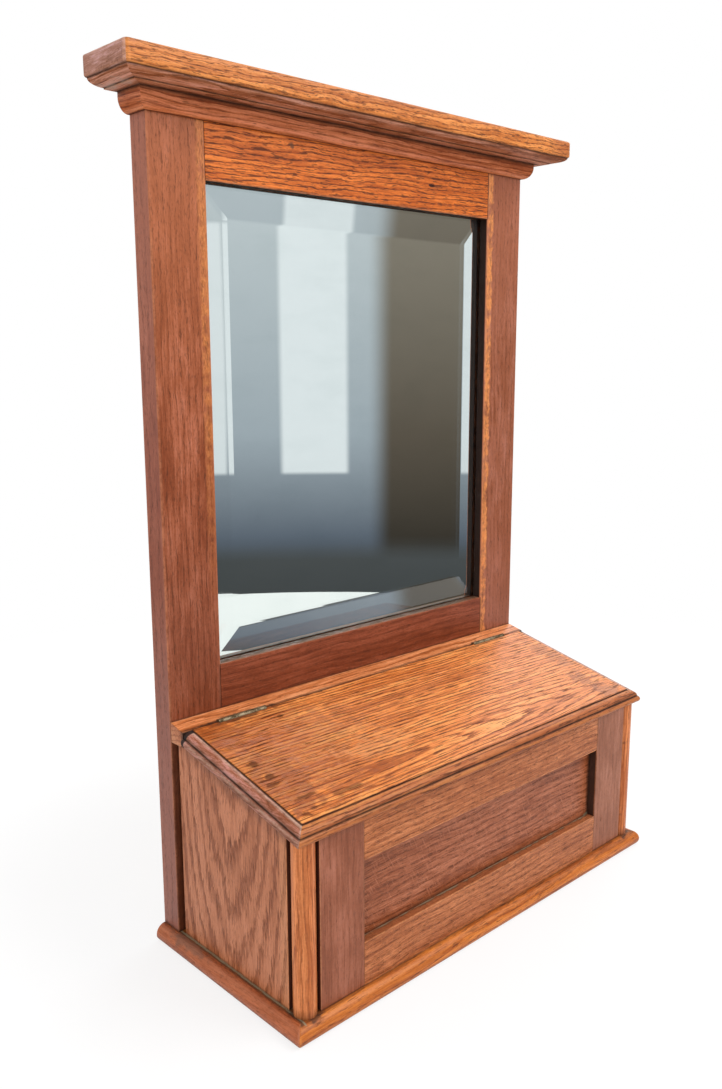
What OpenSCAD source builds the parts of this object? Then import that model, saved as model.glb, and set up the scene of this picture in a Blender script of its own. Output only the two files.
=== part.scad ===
// Wall mirror with a sloping lidded storage box below it, in oak.
// The frame is +Z up, the front faces -Y, the origin is at the middle of the footprint on the floor.
// Heights are counted from the floor, and depths are counted forwards from the wall plane.

/* [Mirror frame] */
// Width across the outer faces of the two tall stiles
frame_w = 456; // [380:1:560]
// Thickness of the mirror frame from front to back
frame_t = 23.2; // [22:0.1:30]
// Width of each tall stile
stile_w = 53; // [44:1:64]
// Height of the whole object
total_h = 735; // [640:1:900]
// Height of the top rail, the upper part of which lies behind the cornice
top_rail_h = 65.5; // [55:0.5:90]
// Height of the lower edge of the mirror opening above the floor
sight_z = 250; // [225:1:290]
// Height of the bottom rail, which reaches down behind the box
bottom_rail_h = 100; // [85:1:110]
// Length of the tenons on the two rails
tenon_len = 30; // [15:1:36]
// Thickness of the tenons on the two rails
tenon_t = 8; // [6:0.5:9]
// Depth of the lip in front of the mirror plate
lip_t = 10; // [8:0.2:11]

/* [Mirror plate] */
// Thickness of the bevelled plate
plate_t = 6; // [4:0.5:6.5]
// Width of the bevel
bevel_w = 33; // [15:1:45]
// How much thinner the bevel leaves the plate's edge
bevel_drop = 2.5; // [1:0.25:3]
// How far the frame's lip covers the plate
plate_lap = 6.5; // [4:0.5:9]
// How far the backboard reaches past the plate on each side
backboard_lap = 10; // [7:0.5:12]
// Thickness of the backboard behind the plate
backboard_t = 7.5; // [4:0.5:8]

/* [Cornice] */
// Thickness of the cornice board on top
cornice_t = 16.4; // [12:0.2:24]
// Overhang of the cornice board in front of the frame and at both sides
cornice_over = 37; // [25:0.5:50]
// Radius of the cornice board's two front corners
cornice_corner_r = 3.5; // [1:0.5:8]
// Radius of the rounding along the cornice board's edges
cornice_arris = 2.2; // [0.5:0.1:3.4]
// Height of the ovolo strip under the cornice board
ovolo_h = 5.8; // [4:0.2:10]
// Step from the board's edge back to the ovolo
ovolo_step = 2.4; // [1:0.2:6]
// Width of the ovolo's curve
ovolo_run = 13.6; // [6:0.2:15]
// Height of the fillet between the ovolo's curve and the soffit
ovolo_fillet = 0.9; // [0.4:0.1:2]
// Height of the bed mould under the soffit
bed_h = 15; // [10:0.5:20]
// Projection of the bed mould from the frame
bed_out = 9.6; // [5:0.2:15]

/* [Base] */
// Depth of the base board from the wall to its front edge
base_d = 200; // [170:1:260]
// Thickness of the base board
base_t = 14.4; // [12:0.2:22]
// Overhang of the base board in front of the box and beside the frame
base_over = 8.8; // [6:0.2:14]

/* [Box] */
// Set-back of each side panel's outer face from the frame's side
side_set = 3.2; // [1:0.2:6]
// Thickness of the side panels
side_t = 12; // [10:0.5:15]
// Width of the dark quirk between the frame and each side panel
quirk_w = 6; // [3:0.5:9]
// Depth of that quirk
quirk_d = 6.5; // [3:0.5:8]
// Diameter of the round bead at each front corner
bead_d = 19.1; // [17.5:0.1:22]
// How far the bead stands out of the panels beside it
bead_proud = 1.6; // [0.5:0.1:2.5]
// Thickness of the framed front
front_t = 18; // [16:0.5:20]
// Width of the two stiles of the framed front
front_stile_w = 46.5; // [36:0.5:60]
// Height of the lower rail of the framed front
front_low_rail_h = 38.6; // [34:0.2:46]
// Height of the panel opening in the framed front
front_sight_h = 71.5; // [50:0.5:80]
// Recess of the panel behind the face of the framed front
panel_recess = 8.5; // [4:0.5:10]
// Thickness of the recessed panel
panel_t = 6; // [4:0.5:6.5]
// Depth of the groove that holds the recessed panel
panel_groove = 7; // [4:0.5:8]
// Length of the tenons on the rails of the framed front
front_tenon_len = 25; // [12:1:32]
// Thickness of the board behind the box
back_panel_t = 8; // [5:0.5:9]
// Width of the glue blocks in the box's four corners
glue_block_w = 12; // [8:1:18]

/* [Lid] */
// Downward slope of the lid towards the front, in degrees
lid_slope = 13.2; // [8:0.1:16]
// Thickness of the lid
lid_t = 12.5; // [12:0.1:14]
// Height of the lid's upper face at the front of the hinge rail
lid_back_z = 207.6; // [200:0.2:215]
// Overhang of the lid's nosing in front of the framed front
lid_front_over = 8; // [5:0.2:8.4]
// Overhang of the lid's nosing beside each side panel
lid_side_over = 6.4; // [4:0.2:9]
// Depth of the fixed hinge rail behind the lid
rail_d = 18.4; // [15:0.2:24]
// Height of the hinge rail's underside
rail_z = 192.4; // [186:0.2:194]
// How far the hinge rail's top lies below the plane of the lid
rail_drop = 2; // [0.5:0.1:3]
// Gap between the hinge rail and the lid's back edge
hinge_gap = 1.5; // [1:0.1:2]

/* [Hinges] */
// Length of each butt hinge
hinge_len = 51; // [40:1:64]
// Distance from the frame's side to the centre of each hinge
hinge_in = 60.6; // [48:0.2:100]
// Diameter of the hinge barrel
barrel_d = 5.4; // [4.6:0.1:6]
// Diameter of the hinge pin
pin_d = 2.4; // [1.6:0.1:2.6]
// Number of knuckles on each hinge, an odd number
knuckles = 5; // [3:2:7]
// Thickness of the hinge leaves
leaf_t = 1.6; // [1.2:0.1:1.8]
// Height of each leaf below the pin's axis
leaf_h = 10.6; // [9.5:0.1:11]
// Height of the pin's axis below the plane of the lid
pin_drop = 1.2; // [0.8:0.1:1.6]

/* [Fasteners] */
// Length of the hinge screws
hinge_screw_len = 12; // [9:0.5:14]
// Diameter of the hinge screws' shanks
hinge_screw_d = 2.4; // [1.8:0.1:2.6]
// Length of the screws through the base board
base_screw_len = 36; // [28:1:40]
// Diameter of the base screws' shanks
base_screw_d = 4; // [3:0.2:5]
// Length of the nails through the cornice board
cornice_nail_len = 40; // [30:1:55]
// Diameter of the nails through the cornice board
cornice_nail_d = 2.2; // [1.6:0.1:3]
// Length of the nails that hold the two boards at the back
back_nail_len = 15; // [12:0.5:20]
// Diameter of the nails at the back
back_nail_d = 1.6; // [1.2:0.1:2]
// Distance between the two wall screw holes
wall_hole_spacing = 300; // [200:5:320]
// Diameter of the wall screw holes
wall_hole_d = 5; // [4:0.5:6]
// Height of the wall screw holes
wall_hole_z = 175; // [170:1:180]

/* [Hidden] */
$fn = 48;

glue_block_short = 24; // how far the glue blocks stop short of the lid

// Clearances
joint_gap = 0.1; // between a tenon or a panel and its mortise or groove
tenon_end_gap = 1; // left at the end of a tenon
screw_gap = 0.05; // round the shank and the head of a screw or nail
lid_gap = 0.3; // between the closed lid and what it rests on
plate_gap = 0.3; // round the edge of the mirror plate and behind it
pin_gap = 0.05; // between the hinge pin and the knuckles, on the radius
knuckle_gap = 0.15; // between neighbouring knuckles
leaf_gap = 0.3; // between the two closed leaves of a hinge
barrel_gap = 0.4; // between the barrel and the wood beside it
cut_past = 1; // how far a cut runs past the surface that it opens

// Planes, front to back
wall_y = base_d / 2;
frame_y = wall_y - frame_t;
rail_y = frame_y - rail_d;
box_y = wall_y - base_d + base_over;
front_back_y = box_y + front_t;
lid_back_y = rail_y - hinge_gap;

// Heights
cornice_z = total_h - cornice_t;
soffit_z = cornice_z - ovolo_h;
sight_top_z = cornice_z - top_rail_h;
bottom_rail_z = sight_z - bottom_rail_h;

// Half widths
frame_x = frame_w / 2;
sight_x = frame_x - stile_w;
side_x = frame_x - side_set;
side_in_x = side_x - side_t;
plate_x = sight_x + plate_lap;
backboard_x = plate_x + backboard_lap;

// The lid's plane and the sloping plane that it rests on
lid_rise = tan(lid_slope);
function lid_plane_z(y) = lid_back_z + (y - rail_y) * lid_rise;
function rest_z(y) = lid_plane_z(y) - lid_t / cos(lid_slope) - lid_gap;

// The lid's moulded edge: an ovolo between two quirks, then a round nosing
lid_quirk = 0.9;
lid_flat = 0.7;
lid_ovolo_w = 8;
lid_ovolo_h = 4;
lid_step = 0.6;
nosing_r = (lid_t - lid_quirk - lid_ovolo_h - 2 * lid_step) / 2;
nosing_in = lid_flat + lid_ovolo_w;
lid_edge_w = nosing_in + nosing_r;
lid_field_x = side_x + lid_side_over - lid_edge_w;
lid_field_len = (rail_y - (box_y - lid_front_over)) / cos(lid_slope) - lid_edge_w
    - (lid_t / 2) * lid_rise;

// The hinges
hinge_x = frame_x - hinge_in;
pin_y = rail_y - hinge_gap / 2;
pin_z = lid_plane_z(pin_y) - pin_drop;
barrel_r = barrel_d / 2;
leaf_cut = leaf_t + leaf_gap / 2 - hinge_gap / 2;
leaf_reach = barrel_r + knuckle_gap;
leaf_screw_z = pin_z - (leaf_reach + leaf_h) / 2;
leaf_screw_pitch = hinge_len / 3;
hinge_head_d = 2 * hinge_screw_d;

// The bead at each front corner
bead_r = bead_d / 2;
bead_x = side_x + bead_proud - bead_r;
bead_y = box_y - bead_proud + bead_r;
front_x = bead_x - bead_r;
front_sight_x = front_x - front_stile_w;
front_sight_z = base_t + front_low_rail_h;
front_sight_top_z = front_sight_z + front_sight_h;

// The plate's place between the lip and the backboard
bevel_at_lip = bevel_drop * (1 - plate_lap / bevel_w);
plate_y = frame_y + lip_t - bevel_at_lip + plate_gap / 2;
plate_back_y = plate_y + plate_t;
backboard_y = plate_back_y + plate_gap / 2;

// Plain shapes

// A box between two opposite corners
module block(from, to) {
    translate(from) cube(to - from);
}

// A section drawn in depth and height, run from side to side
module run_across(half_width) {
    translate([-half_width, 0, 0]) rotate([90, 0, 90]) linear_extrude(2 * half_width) children();
}

// A section drawn in width and height, run from front to back
module run_back(from_y, to_y) {
    translate([0, to_y, 0]) rotate([90, 0, 0]) linear_extrude(to_y - from_y) children();
}

// Points on an ellipse's arc
function arc(centre, rx, ry, from, to, steps = 10) =
    [for (i = [0:steps]) let (a = from + (to - from) * i / steps)
        [centre[0] + rx * cos(a), centre[1] + ry * sin(a)]];

// A board with one moulded edge running round its front and both ends.
// The edge is a list of points, each the distance out from the field and the height.
module moulded_board(field_x, field_y, back_y, edge) {
    low = edge[len(edge) - 1][1];
    high = edge[0][1];
    out = max([for (p = edge) p[0]]);
    intersection() {
        run_across(field_x + out + cut_past)
            polygon(concat([[back_y, low], [back_y, high]], [for (p = edge) [field_y - p[0], p[1]]]));
        run_back(field_y - out - cut_past, back_y + cut_past)
            polygon(concat([for (p = edge) [field_x + p[0], p[1]]],
                [for (i = [len(edge) - 1:-1:0]) [-field_x - edge[i][0], edge[i][1]]]));
    }
}

// A countersunk screw along +Z with its head's face at the origin, or with a gap the hole that it needs
module screw(shank_d, head_d, length, gap = 0) {
    cone_h = (head_d - shank_d) / 2;
    mouth = gap > 0 ? cut_past : 0;
    rotate_extrude()
        polygon([[0, -mouth], [head_d / 2 + gap, -mouth], [head_d / 2 + gap, 0],
            [shank_d / 2 + gap, cone_h], [shank_d / 2 + gap, length - shank_d],
            [0, length + 2 * gap]]);
}

// A screw with its slot
module slotted_screw(shank_d, head_d, length) {
    slot_w = head_d / 7;
    difference() {
        screw(shank_d, head_d, length);
        translate([-head_d, -slot_w / 2, -cut_past]) cube([2 * head_d, slot_w, cut_past + head_d / 8]);
    }
}

// A flat-headed nail along +Z with the underside of its head at the origin, or with a gap its hole
module nail(shank_d, length, gap = 0) {
    head_h = nail_head_h(shank_d);
    mouth = gap > 0 ? cut_past : 0;
    translate([0, 0, -head_h - mouth]) cylinder(d = nail_head_d(shank_d) + 2 * gap, h = head_h + mouth);
    cylinder(d = shank_d + 2 * gap, h = length - shank_d);
    translate([0, 0, length - shank_d])
        cylinder(d1 = shank_d + 2 * gap, d2 = shank_d / 4 + 2 * gap, h = shank_d + gap);
}
function nail_head_h(shank_d) = 0.35 * shank_d;
function nail_head_d(shank_d) = 2.1 * shank_d;

// Places of the fasteners, shared by the fasteners and by the holes that they sit in

// Base screws: one in each stile, two in each side panel, two in the framed front
base_screw_places = concat(
    [for (s = [-1, 1]) [s * (frame_x - stile_w / 2), (wall_y - back_panel_t + frame_y) / 2]],
    [for (s = [-1, 1], t = [0.25, 0.8])
        [s * (side_in_x + side_x) / 2, frame_y + (front_back_y - frame_y) * t]],
    [for (s = [-1, 1]) [s * front_sight_x / 2, box_y + front_t / 2]]);
base_head_d = 2 * base_screw_d;
module at_base_screws() {
    for (p = base_screw_places) translate([p[0], p[1], screw_gap]) children();
}

// Cornice nails: two in each stile and two in the top rail
cornice_nail_places = [for (x = [-(frame_x - stile_w * 0.3), -(frame_x - stile_w * 0.7), -sight_x * 0.35,
    sight_x * 0.35, frame_x - stile_w * 0.7, frame_x - stile_w * 0.3]) [x, (frame_y + wall_y) / 2]];
module at_cornice_nails() {
    for (p = cornice_nail_places)
        translate([p[0], p[1], total_h - nail_head_h(cornice_nail_d) - screw_gap]) rotate([180, 0, 0]) children();
}

// Nails at the back: round the backboard of the mirror and round the board behind the box
nail_in = backboard_lap / 2;
backboard_nails = concat(
    [for (s = [-1, 1], t = [0.04:0.23:0.96])
        [s * (backboard_x - nail_in), sight_z + (sight_top_z - sight_z) * t]],
    [for (s = [-0.6, 0, 0.6], z = [sight_z - plate_lap - backboard_lap + nail_in,
        sight_top_z + plate_lap + backboard_lap - nail_in]) [s * sight_x, z]]);
box_panel_nails = concat(
    [for (s = [-1, 1], t = [0.12, 0.5, 0.85])
        [s * (sight_x + nail_in), base_t + (bottom_rail_z - base_t) * t]],
    [for (s = [-0.6, 0, 0.6]) [s * sight_x, bottom_rail_z + nail_in]]);
backboard_back_y = backboard_y + backboard_t;
module at_back_nails() {
    for (p = backboard_nails)
        translate([p[0], backboard_back_y, p[1]]) rotate([90, 0, 0]) children();
    for (p = box_panel_nails)
        translate([p[0], wall_y - nail_head_h(back_nail_d) - screw_gap, p[1]]) rotate([90, 0, 0]) children();
}

// Hinge screws: three in each leaf, on one line
module at_leaf_screws(facing) {
    face_y = pin_y + facing * leaf_gap / 2;
    for (s = [-1, 1], i = [-1, 0, 1])
        translate([s * hinge_x + i * leaf_screw_pitch, face_y + facing * screw_gap, leaf_screw_z])
            rotate([facing * -90, 0, 0]) children();
}

// What is cut away around other pieces

// All the space under the closed lid
module under_lid() {
    run_across(frame_w)
        polygon([[box_y - bead_d, -cut_past], [wall_y, -cut_past], [wall_y, rest_z(wall_y)],
            [box_y - bead_d, rest_z(box_y - bead_d)]]);
}

// The stepped pocket behind the mirror opening, for the plate and then for its backboard
module mirror_pocket() {
    block([-plate_x, frame_y + lip_t, sight_z - plate_lap],
        [plate_x, wall_y + cut_past, sight_top_z + plate_lap]);
    block([-backboard_x, backboard_y, sight_z - plate_lap - backboard_lap],
        [backboard_x, wall_y + cut_past, sight_top_z + plate_lap + backboard_lap]);
}

// The rebate at the back for the board behind the box
module box_panel_pocket() {
    block([-sight_x - backboard_lap, wall_y - back_panel_t, -cut_past],
        [sight_x + backboard_lap, wall_y + cut_past, bottom_rail_z + backboard_lap]);
}

// Clearance for the hinge barrels, and the shallow seats of one side's leaves
module hinge_cuts(facing) {
    seat_y = pin_y + facing * (leaf_gap / 2 + leaf_t);
    for (s = [-1, 1]) {
        translate([s * hinge_x - hinge_len / 2 - knuckle_gap, pin_y, pin_z]) rotate([0, 90, 0])
            cylinder(r = barrel_r + barrel_gap, h = hinge_len + 2 * knuckle_gap);
        block([s * hinge_x - hinge_len / 2, min(seat_y, pin_y), pin_z - leaf_h],
            [s * hinge_x + hinge_len / 2, max(seat_y, pin_y), pin_z + barrel_d]);
    }
    at_leaf_screws(facing) screw(hinge_screw_d, hinge_head_d, hinge_screw_len, screw_gap);
}

// Base

// Distance from the nosing's top edge down to its fullest point, as a share of the thickness
nosing_low = 0.36;
base_edge = concat(
    arc([0, base_t * nosing_low], base_over, base_t * (1 - nosing_low), 90, 0),
    [for (p = arc([base_over * 0.6, base_t * nosing_low], base_over * 0.4, base_t * nosing_low, 0, -90, 6))
        if (p[1] < base_t * nosing_low - 0.01) p]);

module base_board() {
    color("sienna") difference() {
        moulded_board(frame_x, box_y, wall_y, base_edge);
        at_base_screws() screw(base_screw_d, base_head_d, base_screw_len, screw_gap);
    }
}

module base_screws() {
    color("dimgray") at_base_screws() slotted_screw(base_screw_d, base_head_d, base_screw_len);
}

// Box

// Right-hand side panel, with a quirk along its back edge and a flat seat for the hinge rail
module side_panel() {
    difference() {
        intersection() {
            block([side_in_x, front_back_y, base_t], [side_x, frame_y, lid_back_z]);
            under_lid();
        }
        block([side_x - quirk_d, frame_y - quirk_w, -cut_past], [frame_x, wall_y, lid_back_z + cut_past]);
        block([0, rail_y, rail_z], [frame_x, wall_y, lid_back_z + cut_past]);
        at_base_screws() screw(base_screw_d, base_head_d, base_screw_len, screw_gap);
    }
}
module left_side_panel() {
    color("saddlebrown") mirror([1, 0, 0]) side_panel();
}
module right_side_panel() {
    color("saddlebrown") side_panel();
}

// Right-hand corner: a three-quarter round bead on the square core that the panels butt against
module corner_bead() {
    intersection() {
        union() {
            translate([bead_x, bead_y, base_t]) cylinder(r = bead_r, h = lid_back_z);
            block([front_x, bead_y, base_t], [bead_x, front_back_y, lid_back_z]);
        }
        under_lid();
    }
}
module left_corner_bead() {
    color("peru") mirror([1, 0, 0]) corner_bead();
}
module right_corner_bead() {
    color("peru") corner_bead();
}

// Softwood blocks glued into the four inner corners of the box
module corner_glue_blocks() {
    top = rest_z(front_back_y) - glue_block_short;
    color("burlywood") for (s = [-1, 1]) {
        block([min(s * side_in_x, s * (side_in_x - glue_block_w)), front_back_y, base_t],
            [max(s * side_in_x, s * (side_in_x - glue_block_w)), front_back_y + glue_block_w, top]);
        block([min(s * side_in_x, s * (side_in_x - glue_block_w)), frame_y - glue_block_w, base_t],
            [max(s * side_in_x, s * (side_in_x - glue_block_w)), frame_y, top]);
    }
}

// Framed front of the box

panel_y = box_y + panel_recess;
tenon_in = 5; // shoulder left above or below a rail's tenon
front_top_tenon_z = front_sight_top_z + panel_groove;

// Groove for the recessed panel, right round the opening
module panel_groove_cut() {
    block([-front_sight_x - panel_groove, panel_y, front_sight_z - panel_groove],
        [front_sight_x + panel_groove, panel_y + panel_t, front_sight_top_z + panel_groove]);
}

// Tenons of the framed front's rails, as solids or as the mortises that take them
module front_tenons(low, gap = 0) {
    z0 = low ? base_t + tenon_in : front_top_tenon_z;
    z1 = low ? front_sight_z - panel_groove : rest_z(box_y) - tenon_in;
    reach = front_sight_x + front_tenon_len + (gap > 0 ? tenon_end_gap : 0);
    block([-reach, panel_y - gap, z0 - gap], [reach, panel_y + panel_t + gap, z1 + gap]);
}

module front_stile() {
    difference() {
        intersection() {
            block([front_sight_x, box_y, base_t], [front_x, front_back_y, lid_back_z]);
            under_lid();
        }
        panel_groove_cut();
        front_tenons(true, joint_gap);
        front_tenons(false, joint_gap);
    }
}
module front_left_stile() {
    color("rosybrown") mirror([1, 0, 0]) front_stile();
}
module front_right_stile() {
    color("rosybrown") front_stile();
}

module front_top_rail() {
    color("rosybrown") difference() {
        intersection() {
            union() {
                block([-front_sight_x, box_y, front_sight_top_z], [front_sight_x, front_back_y, lid_back_z]);
                front_tenons(false);
            }
            under_lid();
        }
        panel_groove_cut();
    }
}

module front_bottom_rail() {
    color("rosybrown") difference() {
        union() {
            block([-front_sight_x, box_y, base_t], [front_sight_x, front_back_y, front_sight_z]);
            front_tenons(true);
        }
        panel_groove_cut();
        at_base_screws() screw(base_screw_d, base_head_d, base_screw_len, screw_gap);
    }
}

module front_panel() {
    edge = panel_groove - joint_gap;
    color("indianred")
        block([-front_sight_x - edge, panel_y + joint_gap, front_sight_z - edge],
            [front_sight_x + edge, panel_y + panel_t - joint_gap, front_sight_top_z + edge]);
}

// Mirror frame

tenon_forward = 1; // how far the tenons lie in front of the middle of the thickness
tenon_y = frame_y + (frame_t - tenon_t) / 2 - tenon_forward;
rail_shoulder = 4; // wood left beside a rail's tenon

// Tenons of the two rails, as solids or as the mortises that take them
module rail_tenons(low, gap = 0) {
    z0 = low ? bottom_rail_z + backboard_lap + rail_shoulder
        : sight_top_z + plate_lap + backboard_lap + rail_shoulder;
    z1 = low ? sight_z - plate_lap - backboard_lap - rail_shoulder : cornice_z - 2 * rail_shoulder;
    reach = sight_x + tenon_len + (gap > 0 ? tenon_end_gap : 0);
    block([-reach, tenon_y - gap, z0 - gap], [reach, tenon_y + tenon_t + gap, z1 + gap]);
}

module stile() {
    difference() {
        block([sight_x, frame_y, base_t], [frame_x, wall_y, cornice_z]);
        mirror_pocket();
        box_panel_pocket();
        rail_tenons(true, joint_gap);
        rail_tenons(false, joint_gap);
        at_base_screws() screw(base_screw_d, base_head_d, base_screw_len, screw_gap);
        at_cornice_nails() nail(cornice_nail_d, cornice_nail_len, screw_gap);
        at_back_nails() nail(back_nail_d, back_nail_len, screw_gap);
    }
}
module left_stile() {
    color("brown") mirror([1, 0, 0]) stile();
}
module right_stile() {
    color("brown") stile();
}

module top_rail() {
    color("chocolate") difference() {
        union() {
            block([-sight_x, frame_y, sight_top_z], [sight_x, wall_y, cornice_z]);
            rail_tenons(false);
        }
        mirror_pocket();
        at_cornice_nails() nail(cornice_nail_d, cornice_nail_len, screw_gap);
        at_back_nails() nail(back_nail_d, back_nail_len, screw_gap);
    }
}

// The bottom rail also takes the two screws that hold the mirror to a wall, out of sight in the box
module bottom_rail() {
    color("brown") difference() {
        union() {
            block([-sight_x, frame_y, bottom_rail_z], [sight_x, wall_y, sight_z]);
            rail_tenons(true);
        }
        mirror_pocket();
        box_panel_pocket();
        at_back_nails() nail(back_nail_d, back_nail_len, screw_gap);
        for (s = [-1, 1]) translate([s * wall_hole_spacing / 2, frame_y, wall_hole_z]) rotate([-90, 0, 0]) {
            cylinder(d = wall_hole_d, h = frame_t + cut_past);
            translate([0, 0, -cut_past])
                cylinder(d1 = 2 * (wall_hole_d + cut_past), d2 = wall_hole_d, h = wall_hole_d / 2 + cut_past);
        }
    }
}

module box_back_panel() {
    edge_x = sight_x + backboard_lap - joint_gap;
    color("burlywood") difference() {
        block([-edge_x, wall_y - back_panel_t, base_t], [edge_x, wall_y, bottom_rail_z + backboard_lap - joint_gap]);
        at_back_nails() nail(back_nail_d, back_nail_len, screw_gap);
    }
}

// Mirror plate, bevelled on all four edges
module mirror_plate() {
    x = plate_x - plate_gap;
    z0 = sight_z - plate_lap + plate_gap;
    z1 = sight_top_z + plate_lap - plate_gap;
    edge_y = plate_y + bevel_drop;
    bevel = bevel_w - plate_gap;
    color("lightsteelblue") intersection() {
        translate([0, 0, z0]) linear_extrude(z1 - z0)
            polygon([[-x, plate_back_y], [-x, edge_y], [bevel - x, plate_y], [x - bevel, plate_y],
                [x, edge_y], [x, plate_back_y]]);
        run_across(x)
            polygon([[plate_back_y, z0], [edge_y, z0], [plate_y, z0 + bevel], [plate_y, z1 - bevel],
                [edge_y, z1], [plate_back_y, z1]]);
    }
}

module mirror_backboard() {
    x = backboard_x - joint_gap;
    lap = plate_lap + backboard_lap - joint_gap;
    color("burlywood") difference() {
        block([-x, backboard_y, sight_z - lap], [x, backboard_back_y, sight_top_z + lap]);
        at_back_nails() nail(back_nail_d, back_nail_len, screw_gap);
    }
}

module back_nails() {
    color("dimgray") at_back_nails() nail(back_nail_d, back_nail_len);
}

// Cornice

cornice_x = frame_x + cornice_over;
cornice_y = frame_y - cornice_over;

module cornice_board() {
    a = cornice_arris;
    r = cornice_corner_r;
    edge = concat(arc([-a, total_h - a], a, a, 90, 0, 4), arc([-a, cornice_z + a], a, a, 0, -90, 4));
    color("peru") difference() {
        intersection() {
            moulded_board(cornice_x, cornice_y, wall_y, edge);
            translate([0, 0, cornice_z - cut_past]) linear_extrude(cornice_t + 2 * cut_past) {
                translate([-cornice_x, cornice_y + r]) square([2 * cornice_x, wall_y - cornice_y]);
                translate([r - cornice_x, cornice_y]) square([2 * (cornice_x - r), 2 * r]);
                for (s = [-1, 1]) translate([s * (cornice_x - r), cornice_y + r]) circle(r);
            }
        }
        at_cornice_nails() nail(cornice_nail_d, cornice_nail_len, screw_gap);
    }
}

module cornice_nails() {
    color("dimgray") at_cornice_nails() nail(cornice_nail_d, cornice_nail_len);
}

// A strip of moulding under the cornice, mitred at the frame's front corners.
// The section lists each point's distance out from the frame and its height.
module strip_front(section, out) {
    intersection() {
        run_across(frame_x + out) polygon([for (p = section) [frame_y - p[0], p[1]]]);
        translate([0, 0, soffit_z - 2 * bed_h]) linear_extrude(total_h)
            polygon([[-frame_x, frame_y], [frame_x, frame_y], [frame_x + out, frame_y - out],
                [-frame_x - out, frame_y - out]]);
    }
}
module strip_side(section, out) {
    intersection() {
        run_back(frame_y - out, wall_y) polygon([for (p = section) [frame_x + p[0], p[1]]]);
        translate([0, 0, soffit_z - 2 * bed_h]) linear_extrude(total_h)
            polygon([[frame_x, frame_y], [frame_x + out, frame_y - out], [frame_x + out, wall_y],
                [frame_x, wall_y]]);
    }
}

ovolo_out = cornice_over - ovolo_step;
ovolo_section = concat([[0, soffit_z], [0, cornice_z]],
    arc([ovolo_out - ovolo_run, cornice_z], ovolo_run, ovolo_h - ovolo_fillet, 0, -90),
    [[ovolo_out - ovolo_run, soffit_z]]);
module cornice_ovolo_front() {
    color("sienna") strip_front(ovolo_section, ovolo_out);
}
module cornice_ovolo_left() {
    color("sienna") mirror([1, 0, 0]) strip_side(ovolo_section, ovolo_out);
}
module cornice_ovolo_right() {
    color("sienna") strip_side(ovolo_section, ovolo_out);
}

bed_toe = 1; // thickness of the bed mould's lower edge
bed_flat = 3.5; // height of the straight part above its curve
bed_section = concat([[0, soffit_z - bed_h], [0, soffit_z], [bed_out, soffit_z]],
    arc([bed_toe, soffit_z - bed_flat], bed_out - bed_toe, bed_h - bed_flat, 0, -90));
module bed_mould_front() {
    color("sienna") strip_front(bed_section, bed_out);
}
module bed_mould_left() {
    color("sienna") mirror([1, 0, 0]) strip_side(bed_section, bed_out);
}
module bed_mould_right() {
    color("sienna") strip_side(bed_section, bed_out);
}

// Lid

// Fixed rail behind the lid, its top bevelled to the lid's slope
module hinge_rail() {
    color("peru") difference() {
        run_across(frame_x)
            polygon([[rail_y, rail_z], [frame_y, rail_z], [frame_y, lid_plane_z(frame_y) - rail_drop],
                [rail_y, lid_plane_z(rail_y) - rail_drop]]);
        hinge_cuts(1);
    }
}

lid_edge = concat([[0, 0], [0, -lid_quirk]],
    arc([lid_flat, -lid_quirk - lid_ovolo_h], lid_ovolo_w, lid_ovolo_h, 90, 0),
    [[nosing_in, -lid_quirk - lid_ovolo_h - lid_step], [nosing_in - lid_step, -lid_quirk - lid_ovolo_h - lid_step]],
    arc([nosing_in, -lid_t + lid_step / 2 + nosing_r], nosing_r, nosing_r, 90, -90, 12),
    [[nosing_in - lid_step, -lid_t]]);
module lid_board() {
    color("chocolate") difference() {
        translate([0, rail_y, lid_back_z]) rotate([lid_slope, 0, 0])
            moulded_board(lid_field_x, -lid_field_len, lid_t, lid_edge);
        block([-frame_w, lid_back_y, 0], [frame_w, wall_y, total_h]);
        hinge_cuts(-1);
    }
}

// Hinges

// One leaf of a butt hinge: facing 1 is let into the rail, facing -1 into the lid
module hinge_leaf(facing) {
    pitch = hinge_len / knuckles;
    inner_y = pin_y + facing * leaf_gap / 2;
    outer_y = inner_y + facing * leaf_t;
    y0 = min(inner_y, outer_y);
    y1 = max(inner_y, outer_y);
    first = facing > 0 ? 0 : 1;
    difference() {
        union() {
            block([hinge_x - hinge_len / 2, y0, pin_z - leaf_h], [hinge_x + hinge_len / 2, y1, pin_z - leaf_reach]);
            for (i = [first:2:knuckles - 1]) {
                x0 = hinge_x - hinge_len / 2 + i * pitch + (i > 0 ? knuckle_gap / 2 : 0);
                x1 = hinge_x - hinge_len / 2 + (i + 1) * pitch - (i < knuckles - 1 ? knuckle_gap / 2 : 0);
                translate([x0, pin_y, pin_z]) rotate([0, 90, 0]) cylinder(r = barrel_r, h = x1 - x0);
                block([x0, y0, pin_z - leaf_reach - cut_past], [x1, y1, pin_z]);
            }
        }
        translate([hinge_x - hinge_len, pin_y, pin_z]) rotate([0, 90, 0])
            cylinder(r = pin_d / 2 + pin_gap, h = 2 * hinge_len);
        at_leaf_screws(facing) screw(hinge_screw_d, hinge_head_d, hinge_screw_len, screw_gap);
    }
}
module left_rail_leaf() {
    color("darkkhaki") mirror([1, 0, 0]) hinge_leaf(1);
}
module left_lid_leaf() {
    color("darkkhaki") mirror([1, 0, 0]) hinge_leaf(-1);
}
module right_rail_leaf() {
    color("darkkhaki") hinge_leaf(1);
}
module right_lid_leaf() {
    color("darkkhaki") hinge_leaf(-1);
}

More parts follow.
